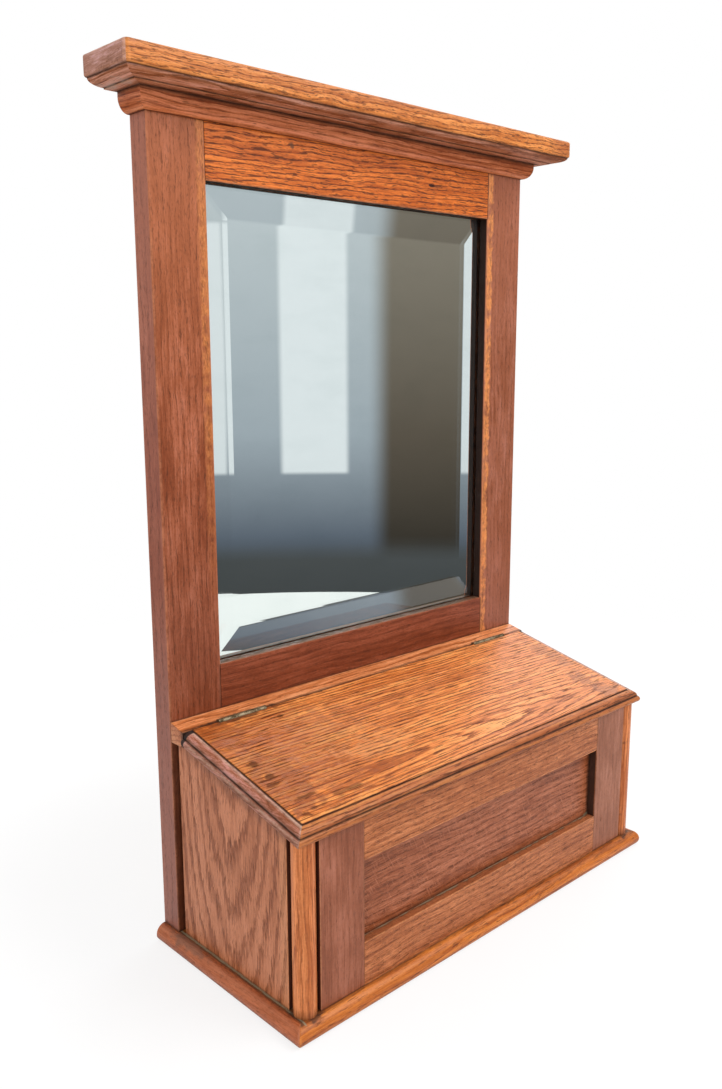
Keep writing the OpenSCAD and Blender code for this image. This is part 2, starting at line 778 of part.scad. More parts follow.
module hinge_pin() {
    translate([hinge_x - hinge_len / 2, pin_y, pin_z]) rotate([0, 90, 0]) cylinder(d = pin_d, h = hinge_len);
}
module left_hinge_pin() {
    color("gray") mirror([1, 0, 0]) hinge_pin();
}
module right_hinge_pin() {
    color("gray") hinge_pin();
}

module rail_leaf_screws() {
    color("goldenrod") at_leaf_screws(1) slotted_screw(hinge_screw_d, hinge_head_d, hinge_screw_len);
}
module lid_leaf_screws() {
    color("goldenrod") at_leaf_screws(-1) slotted_screw(hinge_screw_d, hinge_head_d, hinge_screw_len);
}

base_board();
base_screws();
left_side_panel();
right_side_panel();
left_corner_bead();
right_corner_bead();
corner_glue_blocks();
front_left_stile();
front_right_stile();
front_top_rail();
front_bottom_rail();
front_panel();
left_stile();
right_stile();
top_rail();
bottom_rail();
box_back_panel();
mirror_plate();
mirror_backboard();
back_nails();
cornice_board();
cornice_nails();
cornice_ovolo_front();
cornice_ovolo_left();
cornice_ovolo_right();
bed_mould_front();
bed_mould_left();
bed_mould_right();
hinge_rail();
lid_board();
left_rail_leaf();
left_lid_leaf();
left_hinge_pin();
right_rail_leaf();
right_lid_leaf();
right_hinge_pin();
rail_leaf_screws();
lid_leaf_screws();
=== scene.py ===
"""Looks of an oak wall mirror above a storage box with a sloping lid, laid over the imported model.

Lengths in the classes are millimetres in the model's own frame: +Z up, the front faces -Y, the wall is at
Y = +100, and the origin is under the middle of the base board. Meshes are written in metres. A size that
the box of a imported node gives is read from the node.
"""
import logging
import math
from dataclasses import dataclass, replace
from enum import Enum

import bmesh
import bpy
import numpy as np
from mathutils import Matrix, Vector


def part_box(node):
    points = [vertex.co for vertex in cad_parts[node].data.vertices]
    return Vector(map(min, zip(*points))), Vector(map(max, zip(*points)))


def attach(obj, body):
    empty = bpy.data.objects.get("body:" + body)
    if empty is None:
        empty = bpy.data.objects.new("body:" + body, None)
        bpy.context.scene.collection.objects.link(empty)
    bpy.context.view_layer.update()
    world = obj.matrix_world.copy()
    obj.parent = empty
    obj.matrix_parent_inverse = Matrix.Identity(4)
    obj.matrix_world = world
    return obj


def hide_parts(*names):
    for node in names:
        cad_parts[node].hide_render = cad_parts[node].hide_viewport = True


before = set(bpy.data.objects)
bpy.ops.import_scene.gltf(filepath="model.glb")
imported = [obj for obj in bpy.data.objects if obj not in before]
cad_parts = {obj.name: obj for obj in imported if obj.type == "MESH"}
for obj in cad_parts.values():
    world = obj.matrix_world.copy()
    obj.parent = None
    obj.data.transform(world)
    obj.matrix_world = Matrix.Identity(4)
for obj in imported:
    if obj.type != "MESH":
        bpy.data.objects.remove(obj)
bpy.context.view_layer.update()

MM = 0.001  # metres in a millimetre
SAME_POINT = 2e-6  # metres within which the points of a mesh are merged
CORNER_STEPS = 6  # faces round a board's front corner
TOUCH = 0.01  # millimetres within which a point counts as lying on a face

log = logging.getLogger("mirror")

Tone = tuple[int, int, int]
Pair = tuple[float, float]
Triple = tuple[float, float, float]
Row = tuple[float, float, float, float]
Limits = tuple[float | None, float | None, float | None]
Colour = tuple[float, float, float, float]

OPEN: Limits = (None, None, None)


def linear(tone: Tone) -> Colour:
    """Turns a display colour into the linear colour that shaders take: ((c + 0.055) / 1.055) ** 2.4.

    Args:
        tone: Red, green and blue from 0 to 255.

    Returns:
        Linear red, green, blue and an alpha of 1.
    """
    c = np.asarray(tone, float) / 255
    value = np.where(c < 0.04045, c / 12.92, ((c + 0.055) / 1.055) ** 2.4)
    return (float(value[0]), float(value[1]), float(value[2]), 1.0)


# Shapes

def arc(centre: Pair, radii: Pair, start: float, end: float, steps: int) -> np.ndarray:
    """Points on an ellipse: centre + (rx cos t, ry sin t), with t going evenly from start to end.

    Args:
        centre: The ellipse's centre.
        radii: Its two radii.
        start: First angle in degrees.
        end: Last angle in degrees.
        steps: Number of steps between the points.

    Returns:
        An array of steps + 1 points.
    """
    t = np.radians(np.linspace(start, end, steps + 1))
    return np.stack([centre[0] + radii[0] * np.cos(t), centre[1] + radii[1] * np.sin(t)], -1)


def rows(*parts: np.ndarray | Row, wear_and_highlight: float = 0.0, grime_and_shade: float = 0.0) -> np.ndarray:
    """Joins profile points and short arrays into one list of (out, height, wear and highlight, grime and
    shade).

    Args:
        parts: Single rows of four numbers, or arrays of (out, height) or of four numbers.
        wear_and_highlight: Wear and painted highlight given to the points of an array of pairs.
        grime_and_shade: Grime and painted shade given to the points of an array of pairs.

    Returns:
        An array with four columns.
    """
    joined = []
    for part in parts:
        block = np.atleast_2d(np.asarray(part, float))
        if block.shape[1] == 2:
            extra = np.tile([wear_and_highlight, grime_and_shade], (len(block), 1))
            block = np.hstack([block, extra])
        joined.append(block)
    return np.vstack(joined)


def ripple(along: np.ndarray, seed: int) -> np.ndarray:
    """Slow unevenness of a hand-worked edge, between 0 and 1.

    It is (1 + sum) / 2, cut to that range, where the sum has five sines of the distance along the edge:
    a_k sin(2 pi s / l_k + p_k), with wavelengths l_k from 11 to 140 mm, amplitudes a_k that grow with the
    wavelength, and phases p_k drawn from the seed.

    Args:
        along: Distances in millimetres.
        seed: Chooses the phases.

    Returns:
        An array of the same shape.
    """
    phases = np.random.default_rng(seed).uniform(0, 2 * np.pi, 5)
    lengths = np.array([11.0, 19.0, 37.0, 71.0, 140.0])
    sizes = np.array([0.2, 0.25, 0.3, 0.35, 0.4])
    waves = sizes * np.sin(2 * np.pi * along[..., None] / lengths + phases)
    return np.clip((1 + waves.sum(-1)) / 2, 0, 1)


@dataclass
class Plan:
    """Outline of a board seen from above, once for each row of its edge profile.

    The points are rows by columns by (x, y). Ends says of each column whether the face after it lies on a
    short end, and turns whether the column is part of a front corner.
    """

    points: np.ndarray
    ends: np.ndarray
    turns: np.ndarray


@dataclass
class Edge:
    """The run of a moulded edge round a board's left end, front and right end, and along its plain back.

    A row that lies a distance out from the flat field runs along x = -(half_x + out) to the front, round a
    quarter circle, along y = front_y - out, round the other corner and back along x = half_x + out. Spacing
    is about how far apart the columns stand, and beside is how far the first one stands from a corner.
    """

    half_x: float
    front_y: float
    spacing: float = 7.0
    beside: float = 1.4

    def plan(self, out: np.ndarray, back_y: np.ndarray, corner: np.ndarray, notches: np.ndarray) -> Plan:
        """Lays out every row's loop.

        Args:
            out: Distance out from the field, one value per row.
            back_y: Back edge, one value per row.
            corner: Radius of the front corners, one value per row.
            notches: For each row, the points (x, y) that the back edge passes through from right to left.

        Returns:
            The plan.
        """
        depth = float(back_y.max() - self.front_y)
        out, corner, back = out[:, None], corner[:, None], back_y[:, None]
        reach = self.half_x + out
        quarter = np.radians(np.linspace(0, 90, CORNER_STEPS + 1))[None, :]
        inward = np.linspace(0, 1, max(3, int(depth / self.spacing)))[:-1]
        inward = np.concatenate([inward, [1 - self.beside / depth, 1.0]])[None, :]
        side_y = back + (self.front_y - out + corner - back) * inward
        left = np.stack([-reach + 0 * side_y, side_y], -1)
        first = np.stack([-reach + corner * (1 - np.cos(quarter)),
                          self.front_y - out + corner * (1 - np.sin(quarter))], -1)
        share = self.beside / (2 * self.half_x)
        middle = np.linspace(0, 1, max(3, int(2 * self.half_x / self.spacing)))[1:-1]
        across = np.concatenate([[share], middle, [1 - share]])[None, :]
        run_x = -reach + corner + 2 * (reach - corner) * across
        front = np.stack([run_x, self.front_y - out + 0 * run_x], -1)
        second = first[:, ::-1] * [-1, 1]
        right = left[:, ::-1] * [-1, 1]
        parts = (left[:, :-1], first, front, second, right[:, 1:], notches)
        n = [part.shape[1] for part in parts]
        half_turn = CORNER_STEPS // 2
        ends = np.concatenate([
            np.ones(n[0]),
            np.arange(n[1]) < half_turn,
            np.zeros(n[2]),
            np.arange(n[3]) >= half_turn,
            np.arange(n[4]) < n[4] - 1,
            np.zeros(n[5]),
        ])
        turns = np.repeat([0.0, 1.0, 0.0, 1.0, 0.0, 0.0], n)
        return Plan(np.concatenate(parts, 1), ends > 0, turns > 0)


class Shell:
    """A closed surface from grids, which keeps each point's wear and painted highlight, grime and painted
    shade.
    """

    def __init__(self) -> None:
        """Starts with no points."""
        self.points: list[np.ndarray] = []
        self.faces: list[list[int]] = []
        self.wear_and_highlight: list[np.ndarray] = []
        self.grime_and_shade: list[np.ndarray] = []
        self.slots: list[int] = []
        self.count = 0

    def grid(self, points: np.ndarray, wear_and_highlight: np.ndarray | float = 0.0, grime_and_shade: np.ndarray | float = 0.0,
             closed: bool = False, slot: np.ndarray | int = 0) -> np.ndarray:
        """Adds a grid of four-sided faces between neighbouring rows and columns.

        Args:
            points: Rows by columns by (x, y, z), in millimetres.
            wear_and_highlight: Wear and painted highlight of each point, or one value for all.
            grime_and_shade: Grime and painted shade of each point, or one value for all.
            closed: Whether the last column joins the first.
            slot: Index of each face's material, or one value for all.

        Returns:
            The index of each point, as rows by columns.
        """
        shape = points.shape[:2]
        index = np.arange(shape[0] * shape[1]).reshape(shape) + self.count
        self.points.append(points.reshape(-1, 3))
        self.wear_and_highlight.append(np.broadcast_to(wear_and_highlight, shape).ravel())
        self.grime_and_shade.append(np.broadcast_to(grime_and_shade, shape).ravel())
        self.count += index.size
        ring = np.concatenate([index, index[:, :1]], 1) if closed else index
        quads = np.stack([ring[:-1, :-1], ring[:-1, 1:], ring[1:, 1:], ring[1:, :-1]], -1)
        self.faces += quads.reshape(-1, 4).tolist()
        self.slots += np.broadcast_to(slot, quads.shape[:2]).astype(int).ravel().tolist()
        return index

    def cap(self, loop: np.ndarray, slot: int = 0) -> None:
        """Closes a loop of points with one flat face.

        Args:
            loop: The points' indices in order.
            slot: Index of the face's material.
        """
        self.faces.append([int(i) for i in loop])
        self.slots.append(slot)

    def build(self, name: str, sharp: float = 32.0) -> bpy.types.Object:
        """Makes the mesh object, with doubles merged and faces turned outwards.

        Args:
            name: Name of the piece.
            sharp: Angle in degrees past which an edge is shaded sharp.

        Returns:
            The new object, at the origin.
        """
        mesh = bpy.data.meshes.new(name)
        mesh.from_pydata((np.concatenate(self.points) * MM).tolist(), [], self.faces)
        mesh.polygons.foreach_set("material_index", self.slots)
        for key, values in (("wear_and_highlight", self.wear_and_highlight), ("grime_and_shade", self.grime_and_shade)):
            layer = mesh.attributes.new(key, "FLOAT", "POINT")
            layer.data.foreach_set("value", np.concatenate(values).astype(np.float32))
        work = bmesh.new()
        work.from_mesh(mesh)
        bmesh.ops.remove_doubles(work, verts=work.verts, dist=SAME_POINT)
        bmesh.ops.recalc_face_normals(work, faces=work.faces)
        work.to_mesh(mesh)
        work.free()
        mesh.shade_smooth()
        mesh.set_sharp_from_angle(angle=math.radians(sharp))
        piece = bpy.data.objects.new(name, mesh)
        bpy.context.scene.collection.objects.link(piece)
        return piece


# Materials

class Grain(Enum):
    """Which way the fibres of a board run, with the index of that axis and of the two across it."""

    ACROSS = (0, 1, 2)
    DEPTH = (1, 0, 2)
    UPRIGHT = (2, 0, 1)


Socket = bpy.types.NodeSocket
Value = Socket | float


class Nodes:
    """Writes a node tree as plain sums."""

    def __init__(self, tree: bpy.types.NodeTree) -> None:
        """Takes a tree.

        Args:
            tree: The tree that new nodes go into.
        """
        self.tree = tree
        self.spot: Socket | None = None

    def feed(self, socket: Socket, value: Value | tuple) -> None:
        """Links a socket to another one, or sets it to a number or a colour.

        Args:
            socket: The input.
            value: An output socket, a number or a tuple of numbers.
        """
        if isinstance(value, bpy.types.NodeSocket):
            self.tree.links.new(value, socket)
        else:
            socket.default_value = value

    def math(self, operation: str, a: Value, b: Value = 0.0) -> Socket:
        """Returns the result of a Math node.

        Args:
            operation: Name of the node's operation.
            a: First value.
            b: Second value.

        Returns:
            The node's output.
        """
        node = self.tree.nodes.new("ShaderNodeMath")
        node.operation = operation
        self.feed(node.inputs[0], a)
        self.feed(node.inputs[1], b)
        return node.outputs[0]

    def length(self, a: Value, b: Value) -> Socket:
        """Returns the square root of a * a + b * b."""
        square = self.math("ADD", self.math("MULTIPLY", a, a), self.math("MULTIPLY", b, b))
        return self.math("SQRT", square)

    def scaled(self, a: Value, times: float, plus: Value = 0.0) -> Socket:
        """Multiplies and adds: a * times + plus.

        Args:
            a: Value or socket.
            times: The factor.
            plus: Value or socket that is added.

        Returns:
            The sum.
        """
        node = self.tree.nodes.new("ShaderNodeMath")
        node.operation = "MULTIPLY_ADD"
        self.feed(node.inputs[0], a)
        self.feed(node.inputs[1], times)
        self.feed(node.inputs[2], plus)
        return node.outputs[0]

    def swing(self, noise: Value, times: float, plus: Value = 0.0) -> Socket:
        """Returns (noise - 0.5) * times + plus."""
        return self.scaled(noise, times, self.math("SUBTRACT", plus, 0.5 * times))

    def split(self, vector: Socket) -> list[Socket]:
        """Takes a vector apart.

        Args:
            vector: The vector.

        Returns:
            Its x, y and z.
        """
        node = self.tree.nodes.new("ShaderNodeSeparateXYZ")
        self.feed(node.inputs[0], vector)
        return list(node.outputs)

    def join(self, parts: list[Value]) -> Socket:
        """Puts a vector together.

        Args:
            parts: Its x, y and z.

        Returns:
            The vector.
        """
        node = self.tree.nodes.new("ShaderNodeCombineXYZ")
        for socket, value in zip(node.inputs, parts):
            self.feed(socket, value)
        return node.outputs[0]

    def ease(self, value: Value, low: float, high: float, start: float = 0.0, end: float = 1.0) -> Socket:
        """Goes smoothly from start at low to end at high: 3 t^2 - 2 t^3 of the share t of the way.

        Args:
            value: What is mapped.
            low: Value at which the result is start.
            high: Value at which the result is end.
            start: Result at low.
            end: Result at high.

        Returns:
            The mapped value.
        """
        node = self.tree.nodes.new("ShaderNodeMapRange")
        node.interpolation_type = "SMOOTHSTEP"
        if low > high:
            low, high, start, end = high, low, end, start
        for socket, item in zip(node.inputs, (value, low, high, start, end)):
            self.feed(socket, item)
        return node.outputs[0]

    def noise(self, size: Triple, seed: float, detail: float = 2.0, at: Socket | None = None,
              turn: Triple = (0.0, 0.0, 0.0)) -> Socket:
        """Smooth noise around 0.5 whose blots have the given size along x, y and z.

        Args:
            size: Size of the blots in millimetres.
            seed: Moves the noise to another place.
            detail: Number of finer layers added to it.
            at: Where it is looked up, in place of the object coordinates.
            turn: Turn of the pattern about the three axes, in degrees.

        Returns:
            The noise, between 0 and 1.
        """
        source = self.spot if at is None else at
        if any(turn):
            first = self.tree.nodes.new("ShaderNodeMapping")
            self.feed(first.inputs["Vector"], source)
            first.inputs["Rotation"].default_value = [math.radians(a) for a in turn]
            source = first.outputs[0]
        node = self.tree.nodes.new("ShaderNodeMapping")
        self.feed(node.inputs["Vector"], source)
        node.inputs["Location"].default_value = (seed * 3.71, seed * 1.93, seed * 2.57)
        node.inputs["Scale"].default_value = [1 / s for s in size]
        made = self.tree.nodes.new("ShaderNodeTexNoise")
        self.feed(made.inputs["Vector"], node.outputs[0])
        made.inputs["Scale"].default_value = 1.0
        made.inputs["Detail"].default_value = detail
        made.inputs["Roughness"].default_value = 0.55
        return made.outputs[0]

    def chance(self, number: Value) -> Socket:
        """Draws an even random value for each whole number.

        Args:
            number: The whole number.

        Returns:
            A value from 0 to 1.
        """
        node = self.tree.nodes.new("ShaderNodeTexWhiteNoise")
        node.noise_dimensions = "1D"
        self.feed(node.inputs["W"], number)
        return node.outputs["Value"]

    def ramp(self, value: Value, stops: list[tuple[float, Colour]]) -> Socket:
        """Colours a value by its place between colour stops.

        Args:
            value: What is looked up.
            stops: Places and linear colours, in order.

        Returns:
            The colour.
        """
        node = self.tree.nodes.new("ShaderNodeValToRGB")
        self.feed(node.inputs[0], value)
        band = node.color_ramp
        while len(band.elements) < len(stops):
            band.elements.new(0.5)
        for element, (place, colour) in zip(band.elements, stops):
            element.position = place
            element.color = colour
        return node.outputs["Color"]

    def mix(self, share: Value, a: Value | tuple, b: Value | tuple) -> Socket:
        """Mixes two colours.

        Args:
            share: How much of the second colour is taken.
            a: First colour.
            b: Second colour.

        Returns:
            The mixed colour.
        """
        node = self.tree.nodes.new("ShaderNodeMix")
        node.data_type = "RGBA"
        self.feed(node.inputs[0], share)
        self.feed(node.inputs[6], a)
        self.feed(node.inputs[7], b)
        return node.outputs[2]

    def attribute(self, name: str) -> Socket:
        """Reads a point attribute of the mesh.

        Args:
            name: Name of the attribute.

        Returns:
            Its value.
        """
        node = self.tree.nodes.new("ShaderNodeAttribute")
        node.attribute_name = name
        return node.outputs["Fac"]


class Surface(Nodes):
    """A material with a Principled shader and the object coordinates in millimetres."""

    def __init__(self, name: str) -> None:
        """Starts the material.

        Args:
            name: Name of the material.
        """
        self.material = bpy.data.materials.new(name)
        self.material.use_nodes = True
        super().__init__(self.material.node_tree)
        self.shader = self.tree.nodes["Principled BSDF"]
        node = self.tree.nodes.new("ShaderNodeVectorMath")
        node.operation = "SCALE"
        self.feed(node.inputs[0], self.tree.nodes.new("ShaderNodeTexCoord").outputs["Object"])
        node.inputs["Scale"].default_value = 1 / MM
        self.spot = node.outputs[0]

    def relief(self, height: Value, depth: float, strength: float) -> None:
        """Feeds the shader's normal from a height between 0 and 1.

        Args:
            height: The height pattern.
            depth: Its depth in millimetres.
            strength: Share of the effect.
        """
        node = self.tree.nodes.new("ShaderNodeBump")
        node.inputs["Strength"].default_value = strength
        node.inputs["Distance"].default_value = depth * MM
        self.feed(node.inputs["Height"], height)
        self.feed(self.shader.inputs["Normal"], node.outputs[0])


@dataclass(frozen=True)
class Mark:
    """A part of a board with another tone, taken with a strength from 0 to 1.

    A stain goes under the wood's pores, and dirt and painted shade go over them.
    """

    tone: Tone
    strength: float = 0.8
    stain: bool = False

    def mask(self, graph: Nodes, axes: list[Socket], blot: Socket) -> Value:
        """Returns how much of the tone a point takes."""
        raise NotImplementedError


@dataclass(frozen=True)
class Zone(Mark):
    """A mark between two corners; a side that is None stays open.

    Soft is half the width of its border and ragged is how far a noise shifts it, in millimetres. Fade, where
    it is given, takes the place of soft in the height.
    """

    low: Limits = OPEN
    high: Limits = OPEN
    soft: float = 0.5
    ragged: float = 0.0
    fade: float | None = None

    def mask(self, graph: Nodes, axes: list[Socket], blot: Socket) -> Value:
        """Multiplies a smooth step at each of the zone's sides, which a noise shifts to and fro.

        Args:
            graph: The material's nodes.
            axes: Object coordinates in millimetres.
            blot: Noise that makes the border ragged.

        Returns:
            A value between 0 and the mark's strength.
        """
        total: Value = self.strength
        softness = (self.soft, self.soft, self.fade or self.soft)
        for axis, low, high, soft in zip(axes, self.low, self.high, softness):
            if low is None and high is None:
                continue
            moved = graph.swing(blot, 4 * self.ragged, axis) if self.ragged else axis
            if low is not None:
                total = graph.math("MULTIPLY", total, graph.ease(moved, low - soft, low + soft))
            if high is not None:
                total = graph.math("MULTIPLY", total, graph.ease(moved, high + soft, high - soft))
        return total


@dataclass(frozen=True)
class Flecks(Zone):
    """A zone that is broken up into small flecks, such as wear that has caught only the high fibres.

    Size is that of the flecks in millimetres, and they show where a noise is above the level.
    """

    size: Triple = (1.0, 1.0, 3.0)
    level: float = 0.48

    def mask(self, graph: Nodes, axes: list[Socket], blot: Socket) -> Value:
        """Multiplies the zone's mask by a fine noise that is cut off at its level.

        Args:
            graph: The material's nodes.
            axes: Object coordinates in millimetres.
            blot: Noise that makes the border ragged.

        Returns:
            A value between 0 and the mark's strength.
        """
        fleck = graph.noise(self.size, 61.0, 2)
        return graph.math("MULTIPLY", super().mask(graph, axes, blot),
                          graph.ease(fleck, self.level, self.level + 0.1))


@dataclass(frozen=True)
class Spot(Mark):
    """A mark of the shape of a ragged ellipsoid, such as a plug, a bruise or a blot."""

    centre: Triple = (0.0, 0.0, 0.0)
    radii: Triple = (1.0, 1.0, 1.0)

    def mask(self, graph: Nodes, axes: list[Socket], blot: Socket) -> Value:
        """Eases the distance |(p - centre) / radii|, bent by a noise, from 1 at the middle to 0 past the rim.

        Args:
            graph: The material's nodes.
            axes: Object coordinates in millimetres.
            blot: Noise that makes the border ragged.

        Returns:
            A value between 0 and the mark's strength.
        """
        total: Value = 0.0
        for axis, middle, radius in zip(axes, self.centre, self.radii):
            share = graph.scaled(axis, 1 / radius, -middle / radius)
            total = graph.math("ADD", total, graph.math("MULTIPLY", share, share))
        far = graph.swing(blot, 2.4, graph.math("SQRT", total))
        return graph.ease(far, 1.25, 0.6, 0.0, self.strength)


@dataclass(frozen=True)
class Eaves(Mark):
    """Dust and shade that fade downwards from a sloping plane, given by its height at y = 0 and its rise."""

    height: float = 0.0
    rise: float = 0.0
    reach: float = 12.0

    def mask(self, graph: Nodes, axes: list[Socket], blot: Socket) -> Value:
        """Eases the drop below the plane, height + rise y - z, from 1 at the plane to 0 at the reach.

        Args:
            graph: The material's nodes.
            axes: Object coordinates in millimetres.
            blot: Noise that makes the border ragged.

        Returns:
            A value between 0 and the mark's strength.
        """
        plane = graph.scaled(axes[1], self.rise, self.height)
        drop = graph.swing(blot, self.reach, graph.math("SUBTRACT", plane, axes[2]))
        return graph.ease(drop, self.reach, 0.0, 0.0, self.strength)


@dataclass(frozen=True)
class Arrises:
    """Finds the long arrises of a squared board from the distance to its faces."""

    grain: Grain
    low: Triple
    high: Triple
    width: float = 2.4

    def mask(self, graph: Nodes, axes: list[Socket]) -> Socket:
        """Wear and painted highlight of an arris: 1 where a point is near both faces across the grain, fading
        over the width.

        Args:
            graph: The material's nodes.
            axes: Object coordinates in millimetres.

        Returns:
            A value between 0 and 1.
        """
        gaps = []
        for i in self.grain.value[1:]:
            near = graph.math("SUBTRACT", axes[i], self.low[i])
            far = graph.math("SUBTRACT", self.high[i], axes[i])
            gaps.append(graph.math("MINIMUM", near, far))
        return graph.ease(graph.math("MAXIMUM", gaps[0], gaps[1]), self.width, 0.2)


@dataclass(frozen=True)
class Timber:
    """Varnished oak, or bare softwood, cut from a log with its own rings, pores and rays.

    The rings are circles about a heart line that leans across the grain: r = |(v, w) - heart - lean u|,
    with u along the fibres and v and w across them, on coordinates that a slow noise bends. r is roughened
    by a ragged noise, and r / ring, less its whole part, says where in a year's growth a point lies. Early
    wood is porous and takes the stain darkest.

    A size is a pair, along the grain and across it, in millimetres. A level is what a noise has to pass for
    a pore to show, an ink is how dark the pore is, and spread is how far the tones lie apart.
    """

    slot: str
    grain: Grain
    tone: Tone
    spread: float = 0.2
    ink: Tone = (62, 30, 12)
    ring: float = 4.0
    heart: Pair = (0.0, -60.0)
    lean: Pair = (0.0, 0.0)
    wobble: float = 2.5
    wobble_size: Pair = (110.0, 26.0)
    jag: float = 0.6
    early_share: float = 0.34
    ring_depth: float = 0.2
    pore_size: Pair = (16.0, 1.5)
    pore_level: float = 0.6
    pore_pull: float = 0.08
    pore_ink: float = 0.6
    fine_size: Pair = (6.0, 0.8)
    fine_level: float = 0.62
    fine_ink: float = 0.3
    streak: float = 0.6
    streak_size: Pair = (70.0, 3.2)
    fibre: float = 0.55
    patch: float = 0.55
    patch_size: Pair = (110.0, 20.0)
    ray: float = 0.0
    ray_turn: Triple = (0.0, 0.0, 0.0)
    # worn_and_highlight is the tone of worn arrises, which also stands for the highlight a rounded arris
    # catches: a painted highlight.
    worn_and_highlight: Tone = (236, 158, 104)
    wear_and_highlight_strength: float = 0.6
    # dirt_and_shade is the tone of grime, and of painted shade in hollows and under overhangs, laid by the
    # grime_and_shade attribute.
    dirt_and_shade: Tone = (40, 22, 15)
    stops: tuple[float, ...] = (0.27, 0.4, 0.5, 0.6, 0.74)
    sheen: float = 0.33
    gloss: float = 0.3
    seed: float = 1.0

    def palette(self) -> list[Colour]:
        """Five colours of the wood from dark to pale, with the middle tone third.

        Each is the middle tone times exp(k spread (1, 1.5, 2.3)) in linear light, with k from -2 to 2: oak is
        redder where it is darker.

        Returns:
            The linear colours.
        """
        steps = np.arange(-2, 3)[:, None] * self.spread * np.array([1.0, 1.5, 2.3])
        shades = np.clip(np.array(linear(self.tone)[:3]) * np.exp(steps), 0, 1)
        return [(float(red), float(green), float(blue), 1.0) for red, green, blue in shades]

    def size(self, along: float, across: float) -> Triple:
        """Turns the size of a blot to the direction of the grain.

        Args:
            along: Length along the grain.
            across: Length in the two other directions.

        Returns:
            The lengths along x, y and z.
        """
        made = [across, across, across]
        made[self.grain.value[0]] = along
        return (made[0], made[1], made[2])

    def bend(self, graph: Nodes) -> Socket:
        """Moves the object coordinates across the grain by up to the wobble, so that the fibres wave.

        Args:
            graph: The material's nodes.

        Returns:
            The bent coordinates in millimetres.
        """
        parts: list[Value] = list(graph.split(graph.spot))
        for i, shift in zip(self.grain.value[1:], (11.0, 13.0)):
            slow = graph.noise(self.size(*self.wobble_size), self.seed + shift, 2)
            parts[i] = graph.swing(slow, 4 * self.wobble, parts[i])
        return graph.join(parts)

    def years(self, graph: Nodes, bent: Socket) -> tuple[Socket, Socket]:
        """Lays the growth rings through the board.

        Args:
            graph: The material's nodes.
            bent: The bent coordinates.

        Returns:
            How porous the wood is at each point, and a random value for each year.
        """
        parts = graph.split(bent)
        u, v, w = (parts[i] for i in self.grain.value)
        side = graph.scaled(u, -self.lean[0], graph.math("SUBTRACT", v, self.heart[0]))
        deep = graph.scaled(u, -self.lean[1], graph.math("SUBTRACT", w, self.heart[1]))
        ragged = graph.noise(self.size(18.0, 1.8), self.seed + 23, 2)
        radius = graph.swing(ragged, 4 * self.jag, graph.length(side, deep))
        phase = graph.math("DIVIDE", radius, self.ring)
        year = graph.math("FRACT", phase)
        number = graph.math("FLOOR", phase)
        falling = graph.ease(year, self.early_share, self.early_share * 0.3)
        rising = graph.ease(year, 0.93, 1.0)
        return graph.math("MAXIMUM", falling, rising), graph.chance(number)

    def figure(self, graph: Nodes, early: Socket, chance: Socket, patch: Socket, fibre: Socket,
               streak: Socket) -> Socket:
        """Adds up the rings, the years, the patches and the fibres to one tone around 0.5.

        Args:
            graph: The material's nodes.
            early: How porous the wood is.
            chance: Random value of the year.
            patch: Slow noise.
            fibre: Fine noise along the grain.
            streak: Middling noise along the grain.

        Returns:
            The tone.
        """
        tone = graph.scaled(early, -self.ring_depth, 0.5 + self.ring_depth * self.early_share)
        tone = graph.swing(chance, 0.5 * self.ring_depth, tone)
        tone = graph.swing(patch, self.patch, tone)
        tone = graph.swing(streak, self.streak, tone)
        return graph.swing(fibre, self.fibre, tone)

    def pores(self, graph: Nodes, bent: Socket, early: Socket, patch: Socket) -> tuple[Socket, Socket]:
        """Finds the open pores, which are thickest in the early wood, and the fine ones between them.

        Args:
            graph: The material's nodes.
            bent: The bent coordinates.
            early: How porous the wood is.
            patch: Slow noise that thins the pores out in places.

        Returns:
            How far a point lies in an open pore, and in a fine one.
        """
        wide = graph.noise(self.size(*self.pore_size), self.seed + 53, 2, bent)
        wide = graph.swing(patch, 0.12, graph.scaled(early, self.pore_pull, wide))
        fine = graph.noise(self.size(*self.fine_size), self.seed + 67, 1, bent)
        fine = graph.scaled(early, 0.05, fine)
        return (graph.ease(wide, self.pore_level, self.pore_level + 0.09),
                graph.ease(fine, self.fine_level, self.fine_level + 0.12))

    def varnish(self, graph: Surface, dashes: Socket, blot: Socket, dull: Value, edge: Socket) -> None:
        """Sets the varnish, which is rougher in the pores, in blots, under dirt and painted shade, and where
        it is worn.

        Args:
            graph: The material's nodes.
            dashes: Where the open pores are.
            blot: Noise in round blots.
            dull: How much dirt and painted shade lie on it.
            edge: How worn it is, by the mask that also paints the arris highlight.
        """
        rough = graph.scaled(dashes, 0.2, self.sheen - 0.06)
        rough = graph.scaled(blot, 0.16, rough)
        rough = graph.scaled(dull, 0.25, rough)
        rough = graph.scaled(edge, 0.08, rough)
        graph.feed(graph.shader.inputs["Roughness"], graph.math("MINIMUM", rough, 0.9))
        graph.shader.inputs["Specular IOR Level"].default_value = self.gloss

